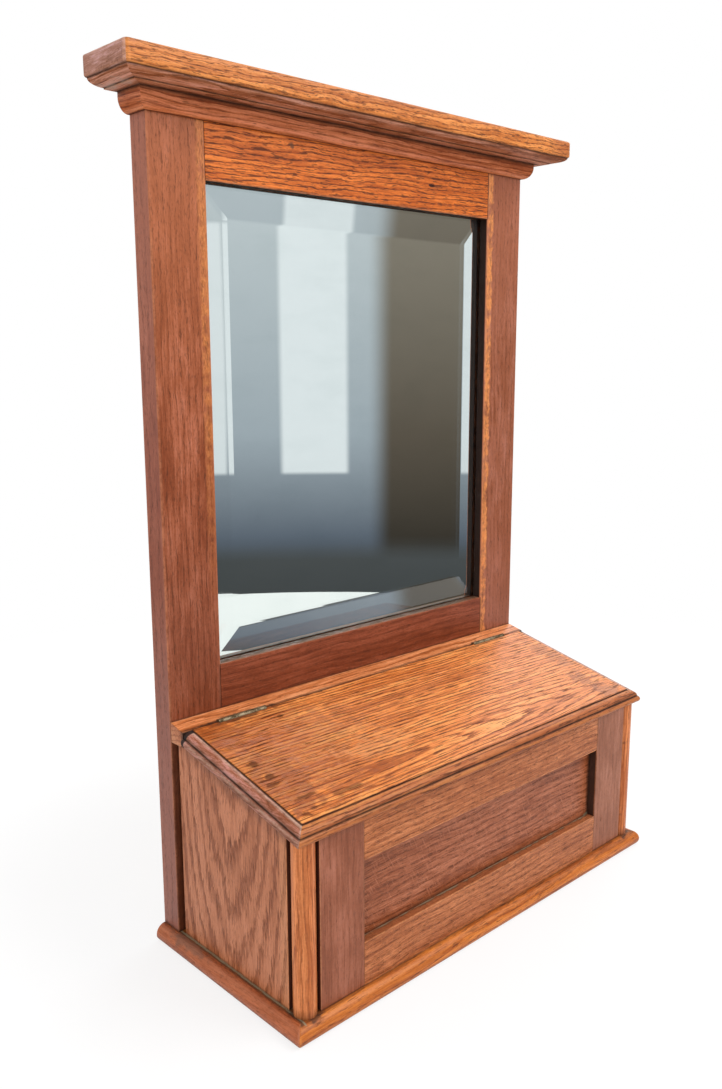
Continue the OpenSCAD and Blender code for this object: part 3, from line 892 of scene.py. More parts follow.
    def material(self, name: str, arrises: Arrises | None = None,
                 marks: tuple[Mark, ...] = ()) -> bpy.types.Material:
        """Writes the board's material.

        Args:
            name: Name of the board.
            arrises: Finds the worn and highlighted arrises of a squared board. Without it the mesh's
                attributes are read.
            marks: Places with another tone.

        Returns:
            The material.
        """
        graph = Surface(f"{name}_{self.slot}")
        axes = graph.split(graph.spot)
        bent = self.bend(graph)
        early, chance = self.years(graph, bent)
        patch = graph.noise(self.size(*self.patch_size), self.seed + 37, 3, bent)
        streak = graph.noise(self.size(*self.streak_size), self.seed + 43, 3, bent)
        fibre = graph.noise(self.size(30.0, 0.9), self.seed + 41, 2, bent)
        blot = graph.noise((9.0, 9.0, 9.0), self.seed + 83, 3)
        speck = graph.noise((2.2, 2.2, 2.2), self.seed + 89, 3)
        tone = graph.swing(speck, 0.16, self.figure(graph, early, chance, patch, fibre, streak))
        colours = self.palette()
        colour = graph.ramp(tone, list(zip(self.stops, colours)))
        for mark in marks:
            if mark.stain:
                colour = graph.mix(mark.mask(graph, axes, blot), colour, linear(mark.tone))
        dashes, fine = self.pores(graph, bent, early, patch)
        ink = linear(self.ink)
        colour = graph.mix(graph.math("MULTIPLY", fine, self.fine_ink), colour, ink)
        colour = graph.mix(graph.math("MULTIPLY", dashes, self.pore_ink), colour, ink)
        if self.ray:
            flecks = graph.noise(self.size(1.2, 11.0), self.seed + 71, 2, None, self.ray_turn)
            flecks = graph.ease(flecks, 0.56, 0.74, 0.0, self.ray)
            colour = graph.mix(flecks, colour, colours[4])
        # Painted highlight and wear: arrises are lightened towards worn_and_highlight, for real wear and for
        # the light a rounded arris catches.
        edge = arrises.mask(graph, axes) if arrises else graph.attribute("wear_and_highlight")
        edge = graph.math("MULTIPLY", edge, graph.ease(blot, 0.34, 0.6, 0.4, 1.0))
        edge = graph.math("MULTIPLY", edge, graph.ease(speck, 0.3, 0.6, 0.5, 1.0))
        colour = graph.mix(graph.math("MULTIPLY", edge, self.wear_and_highlight_strength), colour, linear(self.worn_and_highlight))
        dull: Value = 0.0
        # Grime and painted shade: the grime_and_shade attribute darkens hollows, undersides and the shaded
        # parts of mouldings.
        if not arrises:
            dull = graph.math("MULTIPLY", graph.attribute("grime_and_shade"), graph.ease(blot, 0.25, 0.55, 0.7, 1.0))
            colour = graph.mix(graph.math("MULTIPLY", dull, 0.9), colour, linear(self.dirt_and_shade))
        for mark in marks:
            if not mark.stain:
                share = mark.mask(graph, axes, blot)
                colour = graph.mix(share, colour, linear(mark.tone))
                dull = graph.math("MAXIMUM", dull, share)
        graph.feed(graph.shader.inputs["Base Color"], colour)
        self.varnish(graph, dashes, blot, dull, edge)
        hollow = graph.scaled(dashes, -0.5, graph.scaled(streak, 0.5, graph.scaled(fibre, 0.35, 0.4)))
        hollow = graph.scaled(fine, -0.2, hollow)
        graph.relief(hollow, 0.22, 0.5)
        return graph.material


@dataclass(frozen=True)
class Metal:
    """Aged brass or steel: two tones in blots, darker in fine specks, and rougher where it is dark."""

    slot: str
    bright: Tone
    dark: Tone
    rough: float = 0.4
    metallic: float = 1.0
    seed: float = 5.0

    def material(self, name: str) -> bpy.types.Material:
        """Writes the metal's material.

        Args:
            name: Name of the piece.

        Returns:
            The material.
        """
        graph = Surface(f"{name}_{self.slot}")
        blot = graph.noise((7.0, 4.0, 4.0), self.seed, 4)
        speck = graph.noise((0.9, 0.9, 0.9), self.seed + 7, 3)
        brushed = graph.noise((0.25, 6.0, 6.0), self.seed + 9, 2)
        share = graph.ease(graph.swing(speck, 0.6, blot), 0.35, 0.7)
        colour = graph.mix(share, linear(self.bright), linear(self.dark))
        graph.feed(graph.shader.inputs["Base Color"], colour)
        graph.shader.inputs["Metallic"].default_value = self.metallic
        graph.feed(graph.shader.inputs["Roughness"], graph.scaled(share, 0.28, self.rough))
        graph.relief(graph.scaled(brushed, 0.4, speck), 0.08, 0.5)
        return graph.material


@dataclass(frozen=True)
class Glass:
    """Clear polished plate glass with the faint green of old plate."""

    tint: Tone = (246, 252, 249)
    veil: Tone = (240, 247, 244)

    def material(self, name: str) -> bpy.types.Material:
        """Writes the glass, with a trace of dust in its roughness.

        Args:
            name: Name of the piece.

        Returns:
            The material.
        """
        graph = Surface(f"{name}_glass")
        shader = graph.shader
        shader.inputs["Transmission Weight"].default_value = 1.0
        shader.inputs["IOR"].default_value = 1.52
        wipe = graph.noise((60.0, 60.0, 25.0), 3.0, 3)
        graph.feed(shader.inputs["Roughness"], graph.ease(wipe, 0.55, 0.8, 0.0, 0.012))
        colour = graph.mix(graph.ease(wipe, 0.4, 0.8), linear(self.tint), linear(self.veil))
        graph.feed(shader.inputs["Base Color"], colour)
        return graph.material


@dataclass(frozen=True)
class Silvering:
    """The silvered back of the plate, with small grey losses towards its edges."""

    half_x: float
    low_z: float
    high_z: float
    bright: Tone = (240, 243, 242)
    lost: Tone = (70, 68, 60)

    def material(self, name: str) -> bpy.types.Material:
        """Writes the silvering: bright metal, clouded close to the plate's edge and in a few specks.

        Args:
            name: Name of the piece.

        Returns:
            The material.
        """
        graph = Surface(f"{name}_silver")
        x, _, z = graph.split(graph.spot)
        side = graph.math("SUBTRACT", self.half_x, graph.math("ABSOLUTE", x))
        low = graph.math("SUBTRACT", z, self.low_z)
        high = graph.math("SUBTRACT", self.high_z, z)
        inside = graph.math("MINIMUM", side, graph.math("MINIMUM", low, high))
        cloud = graph.noise((14.0, 14.0, 14.0), 8.0, 4)
        speck = graph.noise((1.6, 1.6, 1.6), 21.0, 2)
        edge = graph.ease(graph.scaled(cloud, -14.0, inside), 0.0, -6.0)
        spots = graph.math("MULTIPLY", graph.ease(speck, 0.74, 0.8), graph.ease(cloud, 0.5, 0.66))
        loss = graph.math("MAXIMUM", graph.math("MULTIPLY", edge, 0.6), graph.math("MULTIPLY", spots, 0.5))
        colour = graph.mix(loss, linear(self.bright), linear(self.lost))
        graph.feed(graph.shader.inputs["Base Color"], colour)
        graph.shader.inputs["Metallic"].default_value = 1.0
        graph.feed(graph.shader.inputs["Roughness"], graph.scaled(loss, 0.35, 0.004))
        return graph.material


# Finishes of this mirror, by the record's slot

OAK_BASE = Timber(
    "oak_base", Grain.ACROSS, (190, 103, 35), 0.18, ring=5.0, heart=(-40.0, -90.0), lean=(0.02, 0.03),
    pore_size=(13.0, 1.2), pore_level=0.61, worn_and_highlight=(226, 140, 70), seed=2.0)
OAK_BASE_END = replace(
    OAK_BASE, grain=Grain.DEPTH, tone=(172, 92, 52), spread=0.15, ring=9.0, patch=0.3, streak=0.5,
    streak_size=(24.0, 2.0), pore_size=(5.0, 0.8), pore_level=0.58, pore_ink=0.36, ring_depth=0.12,
    worn_and_highlight=(206, 134, 98), seed=3.0)
OAK_SIDE = Timber(
    "oak_side", Grain.UPRIGHT, (168, 97, 58), 0.17, ring=9.0, heart=(-286.0, -4.0), lean=(0.2, 0.0),
    wobble=3.4, wobble_size=(130.0, 22.0), jag=2.7, early_share=0.5, ring_depth=0.3, pore_size=(8.0, 0.85),
    pore_level=0.58, pore_ink=0.42, fine_ink=0.34, streak=0.45, fibre=0.45, seed=4.0)
OAK_BEAD = Timber(
    "oak_bead", Grain.UPRIGHT, (194, 108, 54), 0.2, ring=3.2, pore_size=(13.0, 1.0), pore_level=0.63,
    pore_ink=0.45, worn_and_highlight=(226, 148, 92), seed=6.0)
OAK_FRONT_STILE = Timber(
    "oak_front_stile", Grain.UPRIGHT, (150, 84, 55), 0.19, ring=6.0, ring_depth=0.06, pore_size=(8.0, 0.8),
    pore_level=0.62, pore_ink=0.34, fine_size=(4.0, 0.6), fine_ink=0.34, fibre=0.4, streak=0.3,
    streak_size=(24.0, 5.0), patch=0.7, patch_size=(50.0, 22.0), worn_and_highlight=(206, 140, 98), seed=8.0)
OAK_FRONT_RAIL = Timber(
    "oak_front_rail", Grain.ACROSS, (176, 99, 51), 0.2, ring=5.0, ring_depth=0.12, pore_size=(6.0, 0.8),
    pore_level=0.57, pore_ink=0.5, fine_size=(4.0, 0.6), fine_level=0.58, fine_ink=0.4, fibre=0.6,
    streak_size=(16.0, 1.8), ray=0.3, seed=10.0)
OAK_PANEL = Timber(
    "oak_panel", Grain.ACROSS, (158, 86, 50), 0.22, ring=6.0, ring_depth=0.14, pore_size=(7.0, 0.85),
    pore_level=0.57, pore_ink=0.46, fine_size=(4.0, 0.6), fine_level=0.58, fine_ink=0.4, fibre=0.6,
    streak_size=(18.0, 1.9), ray=0.5, ray_turn=(0.0, 26.0, 0.0), seed=12.0)
OAK_STILE = Timber(
    "oak_stile", Grain.UPRIGHT, (158, 84, 51), 0.24, ring=5.0, ring_depth=0.08, pore_size=(7.0, 0.9),
    pore_level=0.6, pore_ink=0.44, fine_size=(4.0, 0.7), fine_level=0.58, fine_ink=0.36, fibre=0.5,
    streak=0.34, streak_size=(26.0, 4.0), patch=0.7, patch_size=(70.0, 24.0), wear_and_highlight_strength=0.42,
    worn_and_highlight=(216, 140, 100), seed=14.0)
OAK_TOP_RAIL = Timber(
    "oak_top_rail", Grain.ACROSS, (208, 104, 33), 0.2, ring=4.6, heart=(70.0, 560.0), lean=(0.0, 0.04),
    wobble=2.4, wobble_size=(70.0, 20.0), jag=0.7, pore_size=(11.0, 0.9), pore_level=0.555, pore_pull=0.13,
    pore_ink=0.74, seed=16.0)
OAK_BOTTOM_RAIL = Timber(
    "oak_bottom_rail", Grain.ACROSS, (134, 64, 35), 0.22, ring=7.0, ring_depth=0.1, pore_size=(6.0, 0.8),
    pore_level=0.6, pore_ink=0.38, fine_size=(4.0, 0.7), fine_level=0.58, fine_ink=0.38, fibre=0.45,
    streak=0.36, streak_size=(26.0, 3.0), wear_and_highlight_strength=0.4, worn_and_highlight=(196, 120, 82), seed=18.0)
OAK_CORNICE = Timber(
    "oak_cornice", Grain.ACROSS, (206, 119, 52), 0.2, ring=4.4, heart=(40.0, 640.0), lean=(0.02, 0.03),
    jag=0.7, wobble_size=(60.0, 20.0), pore_size=(8.0, 0.85), pore_level=0.57, pore_pull=0.11, pore_ink=0.66,
    worn_and_highlight=(240, 160, 94), seed=20.0)
OAK_CORNICE_END = replace(
    OAK_CORNICE, grain=Grain.DEPTH, tone=(168, 114, 93), spread=0.25, ring=9.0, pore_size=(3.0, 1.0),
    pore_level=0.66, pore_ink=0.3, ring_depth=0.1, streak_size=(24.0, 5.0), worn_and_highlight=(240, 182, 148), seed=21.0)
OAK_MOULDING = Timber(
    "oak_moulding", Grain.ACROSS, (172, 106, 72), 0.28, pore_size=(12.0, 1.1), pore_level=0.61, pore_ink=0.5,
    seed=22.0)
OAK_BED = replace(OAK_MOULDING, tone=(178, 94, 50), spread=0.25, seed=23.0)
OAK_HINGE_RAIL = Timber(
    "oak_hinge_rail", Grain.ACROSS, (216, 129, 74), 0.23, pore_size=(11.0, 1.1), pore_level=0.62,
    pore_ink=0.5, seed=24.0)
OAK_LID = Timber(
    "oak_lid", Grain.ACROSS, (218, 122, 53), 0.25, ring=3.8, heart=(-60.0, 168.0), lean=(0.0, -0.06),
    wobble=2.2, wobble_size=(150.0, 15.0), jag=0.5, early_share=0.4, ring_depth=0.22, pore_size=(19.0, 1.05),
    pore_level=0.58, pore_pull=0.12, pore_ink=0.7, streak=0.75, sheen=0.36, worn_and_highlight=(236, 150, 84), seed=26.0)
OAK_LID_END = replace(
    OAK_LID, grain=Grain.DEPTH, tone=(165, 101, 75), spread=0.28, ring=9.0, pore_size=(12.0, 0.9),
    pore_level=0.64, pore_ink=0.4, ring_depth=0.1, wear_and_highlight_strength=0.8, worn_and_highlight=(220, 186, 164), seed=27.0)
PINE = Timber(
    "pine", Grain.ACROSS, (190, 128, 76), 0.1, ink=(110, 66, 34), ring=5.0, heart=(160.0, 300.0),
    wobble=1.6, jag=0.25, ring_depth=0.16, streak=0.4, patch=0.3, pore_size=(30.0, 1.0), pore_level=0.74,
    pore_ink=0.3, fine_ink=0.1, worn_and_highlight=(178, 146, 104), sheen=0.62, seed=28.0)
BRASS = Metal("brass", (150, 134, 108), (92, 76, 54), 0.5)
BRASS_SCREW = Metal("brass_screw", (176, 146, 96), (92, 70, 40), 0.4, seed=6.0)
STEEL = Metal("steel", (118, 112, 104), (62, 52, 44), 0.42, seed=7.0)

BLACK_PAINT: Tone = (20, 18, 16)
# Dark stain of joint lines, and painted shade in grooves and quirks.
DARK_STAIN_AND_SHADE: Tone = (58, 24, 16)
DUST: Tone = (158, 150, 122)
# Grime, and painted shade in creases, corners and at the feet of parts.
GRIME_AND_SHADE: Tone = (56, 36, 26)
RECESS_SHADE: Tone = (34, 22, 16)
GAP_SHADE: Tone = (26, 15, 10)
HINGE_SHADE: Tone = (60, 38, 24)
OLD_INK: Tone = (36, 22, 14)
KNOT: Tone = (70, 36, 20)


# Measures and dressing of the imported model

def mm_box(node: str) -> tuple[Triple, Triple]:
    """Returns the lowest and highest corner of a model node in millimetres, to four places."""
    low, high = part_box(node)
    return tuple(round(c / MM, 4) for c in low), tuple(round(c / MM, 4) for c in high)


def side_of(node: str, way: str) -> float:
    """Where a side of a model node's box lies, in millimetres.

    Args:
        node: Name of the node.
        way: Which side it is: "-x" has the lowest x, and "+z" is the top.

    Returns:
        The side's x, y or z.
    """
    low, high = mm_box(node)
    return (high if way[0] == "+" else low)["xyz".index(way[1])]


def span(side: int, near: float, far: float) -> Pair:
    """Returns the lower and the higher x of a band between two distances from the middle, on one side."""
    return (min(side * near, side * far), max(side * near, side * far))


@dataclass(frozen=True)
class BeadCircle:
    """The round part of the right corner bead, seen from above."""

    r: float = (side_of("right_corner_bead", "+x") - side_of("right_corner_bead", "-x")) / 2
    x: float = side_of("right_corner_bead", "-x") + r
    y: float = side_of("right_corner_bead", "-y") + r


@dataclass(frozen=True)
class LidPlane:
    """The plane of the closed lid's upper face, and the one below it that the box is cut to."""

    slope: float = 13.2
    thick: float = 12.5
    gap: float = 0.3
    tilt: float = math.radians(slope)
    rail_y: float = side_of("hinge_rail", "-y")
    edge_y: float = side_of("lid_board", "+y")
    rail_z: float = round(side_of("lid_board", "+z") + (rail_y - edge_y) * math.tan(tilt), 4)

    def rest_z(self, y: np.ndarray | float) -> np.ndarray | float:
        """Returns the height of the lower plane, which the lid rests on, at a depth y."""
        under = self.thick / math.cos(self.tilt) + self.gap
        return self.rail_z + (y - self.rail_y) * math.tan(self.tilt) - under


def paint(piece: bpy.types.Object, *materials: bpy.types.Material) -> None:
    """Puts materials in a piece's slots, in order, with the last one in every slot that is left.

    Args:
        piece: The piece.
        materials: The materials.
    """
    slots = piece.data.materials
    for i in range(max(len(slots), len(materials))):
        material = materials[min(i, len(materials) - 1)]
        if i < len(slots):
            slots[i] = material
        else:
            slots.append(material)


def soften(piece: bpy.types.Object, width: float) -> None:
    """Rounds the arrises of a model node by modifiers, without a change to its mesh.

    Args:
        piece: The node's object.
        width: Width of the rounding in millimetres.
    """
    weld = piece.modifiers.new("join_faces", "WELD")
    weld.merge_threshold = 1e-5
    bevel = piece.modifiers.new("soft_arris", "BEVEL")
    bevel.width = width * MM
    bevel.segments = 2
    bevel.limit_method = "ANGLE"
    bevel.angle_limit = math.radians(50)
    bevel.use_clamp_overlap = False


def dress(node: str, timber: Timber, seed: float = 0.0, marks: tuple[Mark, ...] = (), soft: float = 0.0,
          edge: float = 2.4, low: Triple | None = None, high: Triple | None = None) -> None:
    """Gives a squared model node its timber, worn and lit as a painted highlight along its long arrises.

    Args:
        node: Name of the node.
        timber: The finish.
        seed: Moves the figure, so that no two boards are alike.
        marks: Places with another tone.
        soft: Width of the rounded arrises in millimetres.
        edge: Width of the worn and highlighted band along an arris.
        low: Lowest corner of the visible part, where the node has tenons.
        high: Highest corner of the visible part.
    """
    box_low, box_high = mm_box(node)
    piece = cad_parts[node]
    board = replace(timber, seed=timber.seed + seed)
    arrises = Arrises(timber.grain, low or box_low, high or box_high, edge)
    paint(piece, board.material(node, arrises, marks))
    if soft:
        soften(piece, soft)


def place(piece: bpy.types.Object, body: str, node: str, slot: str) -> None:
    """Lets a new piece stand for a model node and ride on its body.

    Args:
        piece: The new piece.
        body: The body it moves with.
        node: The node that it replaces.
        slot: The record's material slot; not used.
    """
    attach(piece, body)
    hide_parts(node)
    log.info("%s: %d faces, in place of %s", piece.name, len(piece.data.polygons), node)


# Sub-assemblies

@dataclass
class Slab:
    """A level board with one moulded edge round its front and both ends, as a stack of closed loops."""

    half_x: float
    front_y: float
    back_y: float
    profile: np.ndarray
    corner: float = 0.6
    corner_wear_and_highlight: float = 0.8
    spacing: float = 7.0
    uneven: float = 0.12
    seed: int = 1
    edge_from: float = -1.5

    def build(self, name: str) -> bpy.types.Object:
        """Makes the board: each profile row (out, height) becomes a loop round it.

        Worn points are drawn in by an uneven amount, wear_and_highlight * uneven * ripple(s), with s the
        distance x + y in plan. The ends take the second material from edge_from outwards.

        Args:
            name: Name of the piece.

        Returns:
            The new object.
        """
        out, height, wear_and_highlight, grime_and_shade = self.profile.T
        back = np.full(len(out), self.back_y)
        corner = np.clip(self.corner + out * 0.15, 0.15, None)
        none = np.zeros((len(out), 0, 2))
        plan = Edge(self.half_x, self.front_y, self.spacing).plan(out, back, corner, none)
        xy = plan.points
        drawn = wear_and_highlight[:, None] * self.uneven * ripple(xy.sum(-1), self.seed)
        drawn = drawn * (xy[..., 1] < self.back_y - TOUCH)
        on_end = np.abs(xy[..., 0]) > self.half_x + out[:, None] - TOUCH
        inward = np.stack([-np.sign(xy[..., 0]) * on_end, np.where(on_end, 0.0, 1.0)], -1)
        xy = xy + inward * drawn[..., None]
        z = np.broadcast_to(height[:, None], xy.shape[:2])
        outside = (out > self.edge_from)[:, None]
        wear_and_highlight = np.maximum(wear_and_highlight[:, None], self.corner_wear_and_highlight * plan.turns[None, :] * outside)
        shell = Shell()
        index = shell.grid(np.concatenate([xy, z[..., None]], -1), wear_and_highlight, grime_and_shade[:, None], closed=True,
                           slot=plan.ends[None, :] & outside[:-1])
        shell.cap(index[0])
        shell.cap(index[-1][::-1])
        return shell.build(name)


@dataclass
class Base:
    """The base board with its round nosing, and the screws that hold the box from below."""

    over: float = 8.8
    half_x: float = side_of("base_board", "+x") - over
    front_y: float = side_of("base_board", "-y") + over
    back_y: float = side_of("base_board", "+y")
    thick: float = side_of("base_board", "+z")
    low_share: float = 0.36
    bead: BeadCircle = BeadCircle()

    def profile(self) -> np.ndarray:
        """Edge of the board: an upper quarter ellipse down to the fullest point and a small one under it.

        Returns:
            Rows of (out, height, wear and highlight, grime and shade).
        """
        full = self.thick * self.low_share
        upper = rows(arc((0.0, full), (self.over, self.thick - full), 90, 0, 14)[1:])
        # Wear and painted highlight on the nosing's upper curve; painted shade under the nosing, through
        # grime_and_shade.
        upper[:, 2] = 0.5 * np.exp(-((np.arange(14) - 5) / 2.4) ** 2)
        lower = rows(arc((self.over * 0.6, full), (self.over * 0.4, full), 0, -90, 6)[1:], grime_and_shade=0.25)
        top = rows((-14.0, self.thick, 0, 0.1), (-3.0, self.thick, 0, 0.35), (-0.4, self.thick, 0, 0.5))
        return np.vstack([top, upper, lower, rows((-4.0, 0.0, 0, 0.2), (-6.0, 0.35, 0, 0))])

    def build(self) -> None:
        """Makes the board and finishes its screws."""
        slab = Slab(self.half_x, self.front_y, self.back_y, self.profile(), corner=0.3, corner_wear_and_highlight=0.9,
                    uneven=0.3, seed=3)
        board = slab.build("base_nosed_board")
        foot = Zone(GRIME_AND_SHADE, 0.35, low=(None, self.front_y - 2.5, self.thick - 0.6), soft=0.8, ragged=0.6)
        ledge = self.half_x - 3.4
        top = self.thick - 0.5
        left = Zone((80, 60, 48), 0.6, False, (None, None, top), (-ledge, None, None), 0.8, 0.7)
        right = replace(left, low=(ledge, None, top), high=OPEN)
        dust = Zone(DUST, 0.6, False, (-ledge - 1.6, None, top), (-ledge, None, None), 0.4, 0.6)
        smear = Spot((112, 88, 74), 0.5, False, (-self.half_x - 3.0, 58.0, 13.0), (6.0, 26.0, 5.0))
        # Painted shadow: dark rings on the base's top round the feet of the two corner beads.
        ring = Spot(GRIME_AND_SHADE, 0.75, False, (-self.bead.x, self.bead.y, self.thick), (13.0, 13.0, 3.0))
        other = replace(ring, centre=(self.bead.x, self.bead.y, self.thick))
        paint(board, OAK_BASE.material("base", None, (foot, left, right, dust, ring, other)),
              OAK_BASE_END.material("base_end", None, (smear,)))
        place(board, "cabinet", "base_board", "oak_base")
        paint(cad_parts["base_screws"], STEEL.material("base_screws"))


@dataclass
class MirrorFrame:
    """The two tall stiles and the two rails that hold the mirror plate."""

    inner: float = side_of("right_stile", "-x")
    half_x: float = side_of("right_stile", "+x")
    front_y: float = side_of("right_stile", "-y")
    back_y: float = side_of("right_stile", "+y")
    low_z: float = side_of("right_stile", "-z")
    high_z: float = side_of("right_stile", "+z")
    sight_low: float = side_of("bottom_rail", "+z")
    sight_high: float = side_of("top_rail", "-z")
    rail_low: float = side_of("bottom_rail", "-z")
    hinge_rail_top: float = side_of("hinge_rail", "+z")
    strip: float = 8.5

    def stiles(self) -> None:
        """Dresses the stiles: a paler strip beside the mirror, a black rebate and dark joint lines."""
        face = self.front_y
        for side, node in ((-1, "left_stile"), (1, "right_stile")):
            left = side < 0
            strip = span(side, self.inner, self.inner + self.strip)
            rebate = span(side, self.inner - 1.5, self.inner + 0.8)
            joint = span(side, self.inner - 1.5, self.inner + 0.9)
            shaded = span(side, self.inner - 1.5, self.inner + 2.0)
            outer = span(side, self.half_x - 0.3, self.half_x + 1)
            pale = (206, 124, 66) if left else (238, 148, 80)
            flecks = (240, 160, 96) if left else (255, 184, 118)
            foot = (108, 50, 28) if left else (152, 88, 62)
            head = (194, 113, 69) if left else (175, 104, 75)
            start, fade = (400.0, 150.0) if left else (190.0, 1.2)
            strip_low = (strip[0], None, start)
            strip_high = (strip[1], face + 0.4, None)
            marks = (
                Zone(foot, 0.5, True, OPEN, (None, None, 340.0), 130.0),
                Zone(head, 0.5, True, (None, None, 560.0), OPEN, 130.0),
                Zone(pale, 0.8, True, strip_low, strip_high, 1.4, 2.0, fade),
                Flecks(flecks, 0.38 if left else 0.3, True, strip_low, strip_high, 2.0, 2.0, fade),
                Zone((156, 100, 88), 0.45, True, (outer[0], face + 0.8, None), (outer[1], None, None), 0.3),
                Zone(BLACK_PAINT, 0.94, False, (rebate[0], face + 1.2, self.sight_low),
                     (rebate[1], None, self.sight_high), 0.4),
                Zone(DARK_STAIN_AND_SHADE, 0.7, False, (joint[0], None, self.sight_high),
                     (joint[1], face + 0.5, None), 0.25),
                Zone(DARK_STAIN_AND_SHADE, 0.7, False, (joint[0], None, None),
                     (joint[1], face + 0.5, self.sight_low), 0.25),
                Zone(DARK_STAIN_AND_SHADE, 0.45, False, (shaded[0], None, None),
                     (shaded[1], face + 0.5, self.sight_low), 0.8, 0.4),
                Zone(GRIME_AND_SHADE, 0.6, False, OPEN, (None, None, self.low_z + 2.0), 1.6, 0.6),
                Zone(GRIME_AND_SHADE, 0.5, False, OPEN, (None, face + 0.6, self.hinge_rail_top + 1.2), 1.2, 0.5),
            )
            wood = OAK_STILE if left else replace(OAK_STILE, tone=(160, 94, 67), spread=0.18)
            low_x, high_x = span(side, self.inner, self.half_x)
            dress(node, wood, 0.0 if left else 0.37, marks, 0.7, 2.6, (low_x, face, self.low_z),
                  (high_x, self.back_y, self.high_z))

    def rails(self) -> None:
        """Dresses the rails: a filled plug and a split in the upper one, dust on the lower one's lip."""
        face = self.front_y
        upper = (
            Spot((112, 74, 52), 0.85, False, (-85.0, face, 690.7), (3.0, 4.0, 2.8)),
            Spot((40, 18, 10), 0.95, False, (90.0, face, 676.7), (3.8, 4.0, 1.4)),
            Zone((44, 42, 36), 0.95, False, (None, face + 1.0, None),
                 (None, None, self.sight_high + 0.3), 0.3),
            Zone(DARK_STAIN_AND_SHADE, 0.4, False, OPEN, (None, face + 0.6, self.sight_high + 0.9), 0.5),
        )
        dress("top_rail", OAK_TOP_RAIL, 0.0, upper, 0.5, 2.0, (-self.inner, face, self.sight_high),
              (self.inner, self.back_y, self.high_z))
        lower = (
            Zone((116, 104, 80), 0.6, False, (None, face + 0.8, self.sight_low - 0.3), OPEN, 0.4, 0.5),
            Zone((40, 26, 18), 0.7, False, (None, face + 4.5, self.sight_low - 0.3), OPEN, 1.2, 0.6),
            Zone(GRIME_AND_SHADE, 0.5, False, OPEN, (None, face + 0.6, self.hinge_rail_top + 1.2), 1.0, 0.5),
        )
        dress("bottom_rail", OAK_BOTTOM_RAIL, 0.0, lower, 0.0, 2.2, (-self.inner, face, self.rail_low),
              (self.inner, self.back_y, self.sight_low))

    def build(self) -> None:
        """Dresses the whole frame."""
        self.stiles()
        self.rails()
        log.info("mirror frame: 2 stiles and 2 rails dressed")


@dataclass
class MirrorPlate:
    """The bevelled plate of silvered glass, and the board and nails behind it."""

    half_x: float = side_of("mirror_plate", "+x")
    low_z: float = side_of("mirror_plate", "-z")
    high_z: float = side_of("mirror_plate", "+z")
    front_y: float = side_of("mirror_plate", "-y")
    back_y: float = side_of("mirror_plate", "+y")
    bevel: float = 32.7
    drop: float = 2.5
    facet: float = 0.5

    def loops(self) -> np.ndarray:
        """Rectangular loops drawn in from the plate's outline, each at its own depth.

        The bevel falls evenly from the flat to the edge, and a narrow facet softens it at each end.

        Returns:
            Points as rows by four corners by (x, y, z).
        """
        edge = self.front_y + self.drop
        slope = self.drop / self.bevel
        drawn = np.array([0.0, 0.0, self.facet, self.bevel - self.facet, self.bevel + self.facet])
        depth = np.array([self.back_y, edge + 0.7 * self.facet, edge - self.facet * slope,
                          self.front_y + self.facet * slope, self.front_y])
        corners = np.array([(-1.0, -1.0), (1.0, -1.0), (1.0, 1.0), (-1.0, 1.0)])
        middle = (self.low_z + self.high_z) / 2
        half_z = (self.high_z - self.low_z) / 2
        x = corners[None, :, 0] * (self.half_x - drawn[:, None])
        z = middle + corners[None, :, 1] * (half_z - drawn[:, None])
        y = np.broadcast_to(depth[:, None], x.shape)
        return np.stack([x, y, z], -1)

    def build(self) -> None:
        """Makes the plate, clear in front and silvered behind, and dresses the backboard and the nails."""
        shell = Shell()
        index = shell.grid(self.loops(), closed=True)
        shell.cap(index[0], 1)
        shell.cap(index[-1], 0)
        plate = shell.build("bevelled_mirror_plate", 0.4)
        silver = Silvering(self.half_x, self.low_z, self.high_z)
        paint(plate, Glass().material("mirror"), silver.material("mirror"))
        place(plate, "cabinet", "mirror_plate", "mirror")
        upright = replace(PINE, grain=Grain.UPRIGHT, heart=(40.0, 260.0))
        dress("mirror_backboard", upright, 0.5)
        paint(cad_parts["back_nails"], STEEL.material("back_nails"))


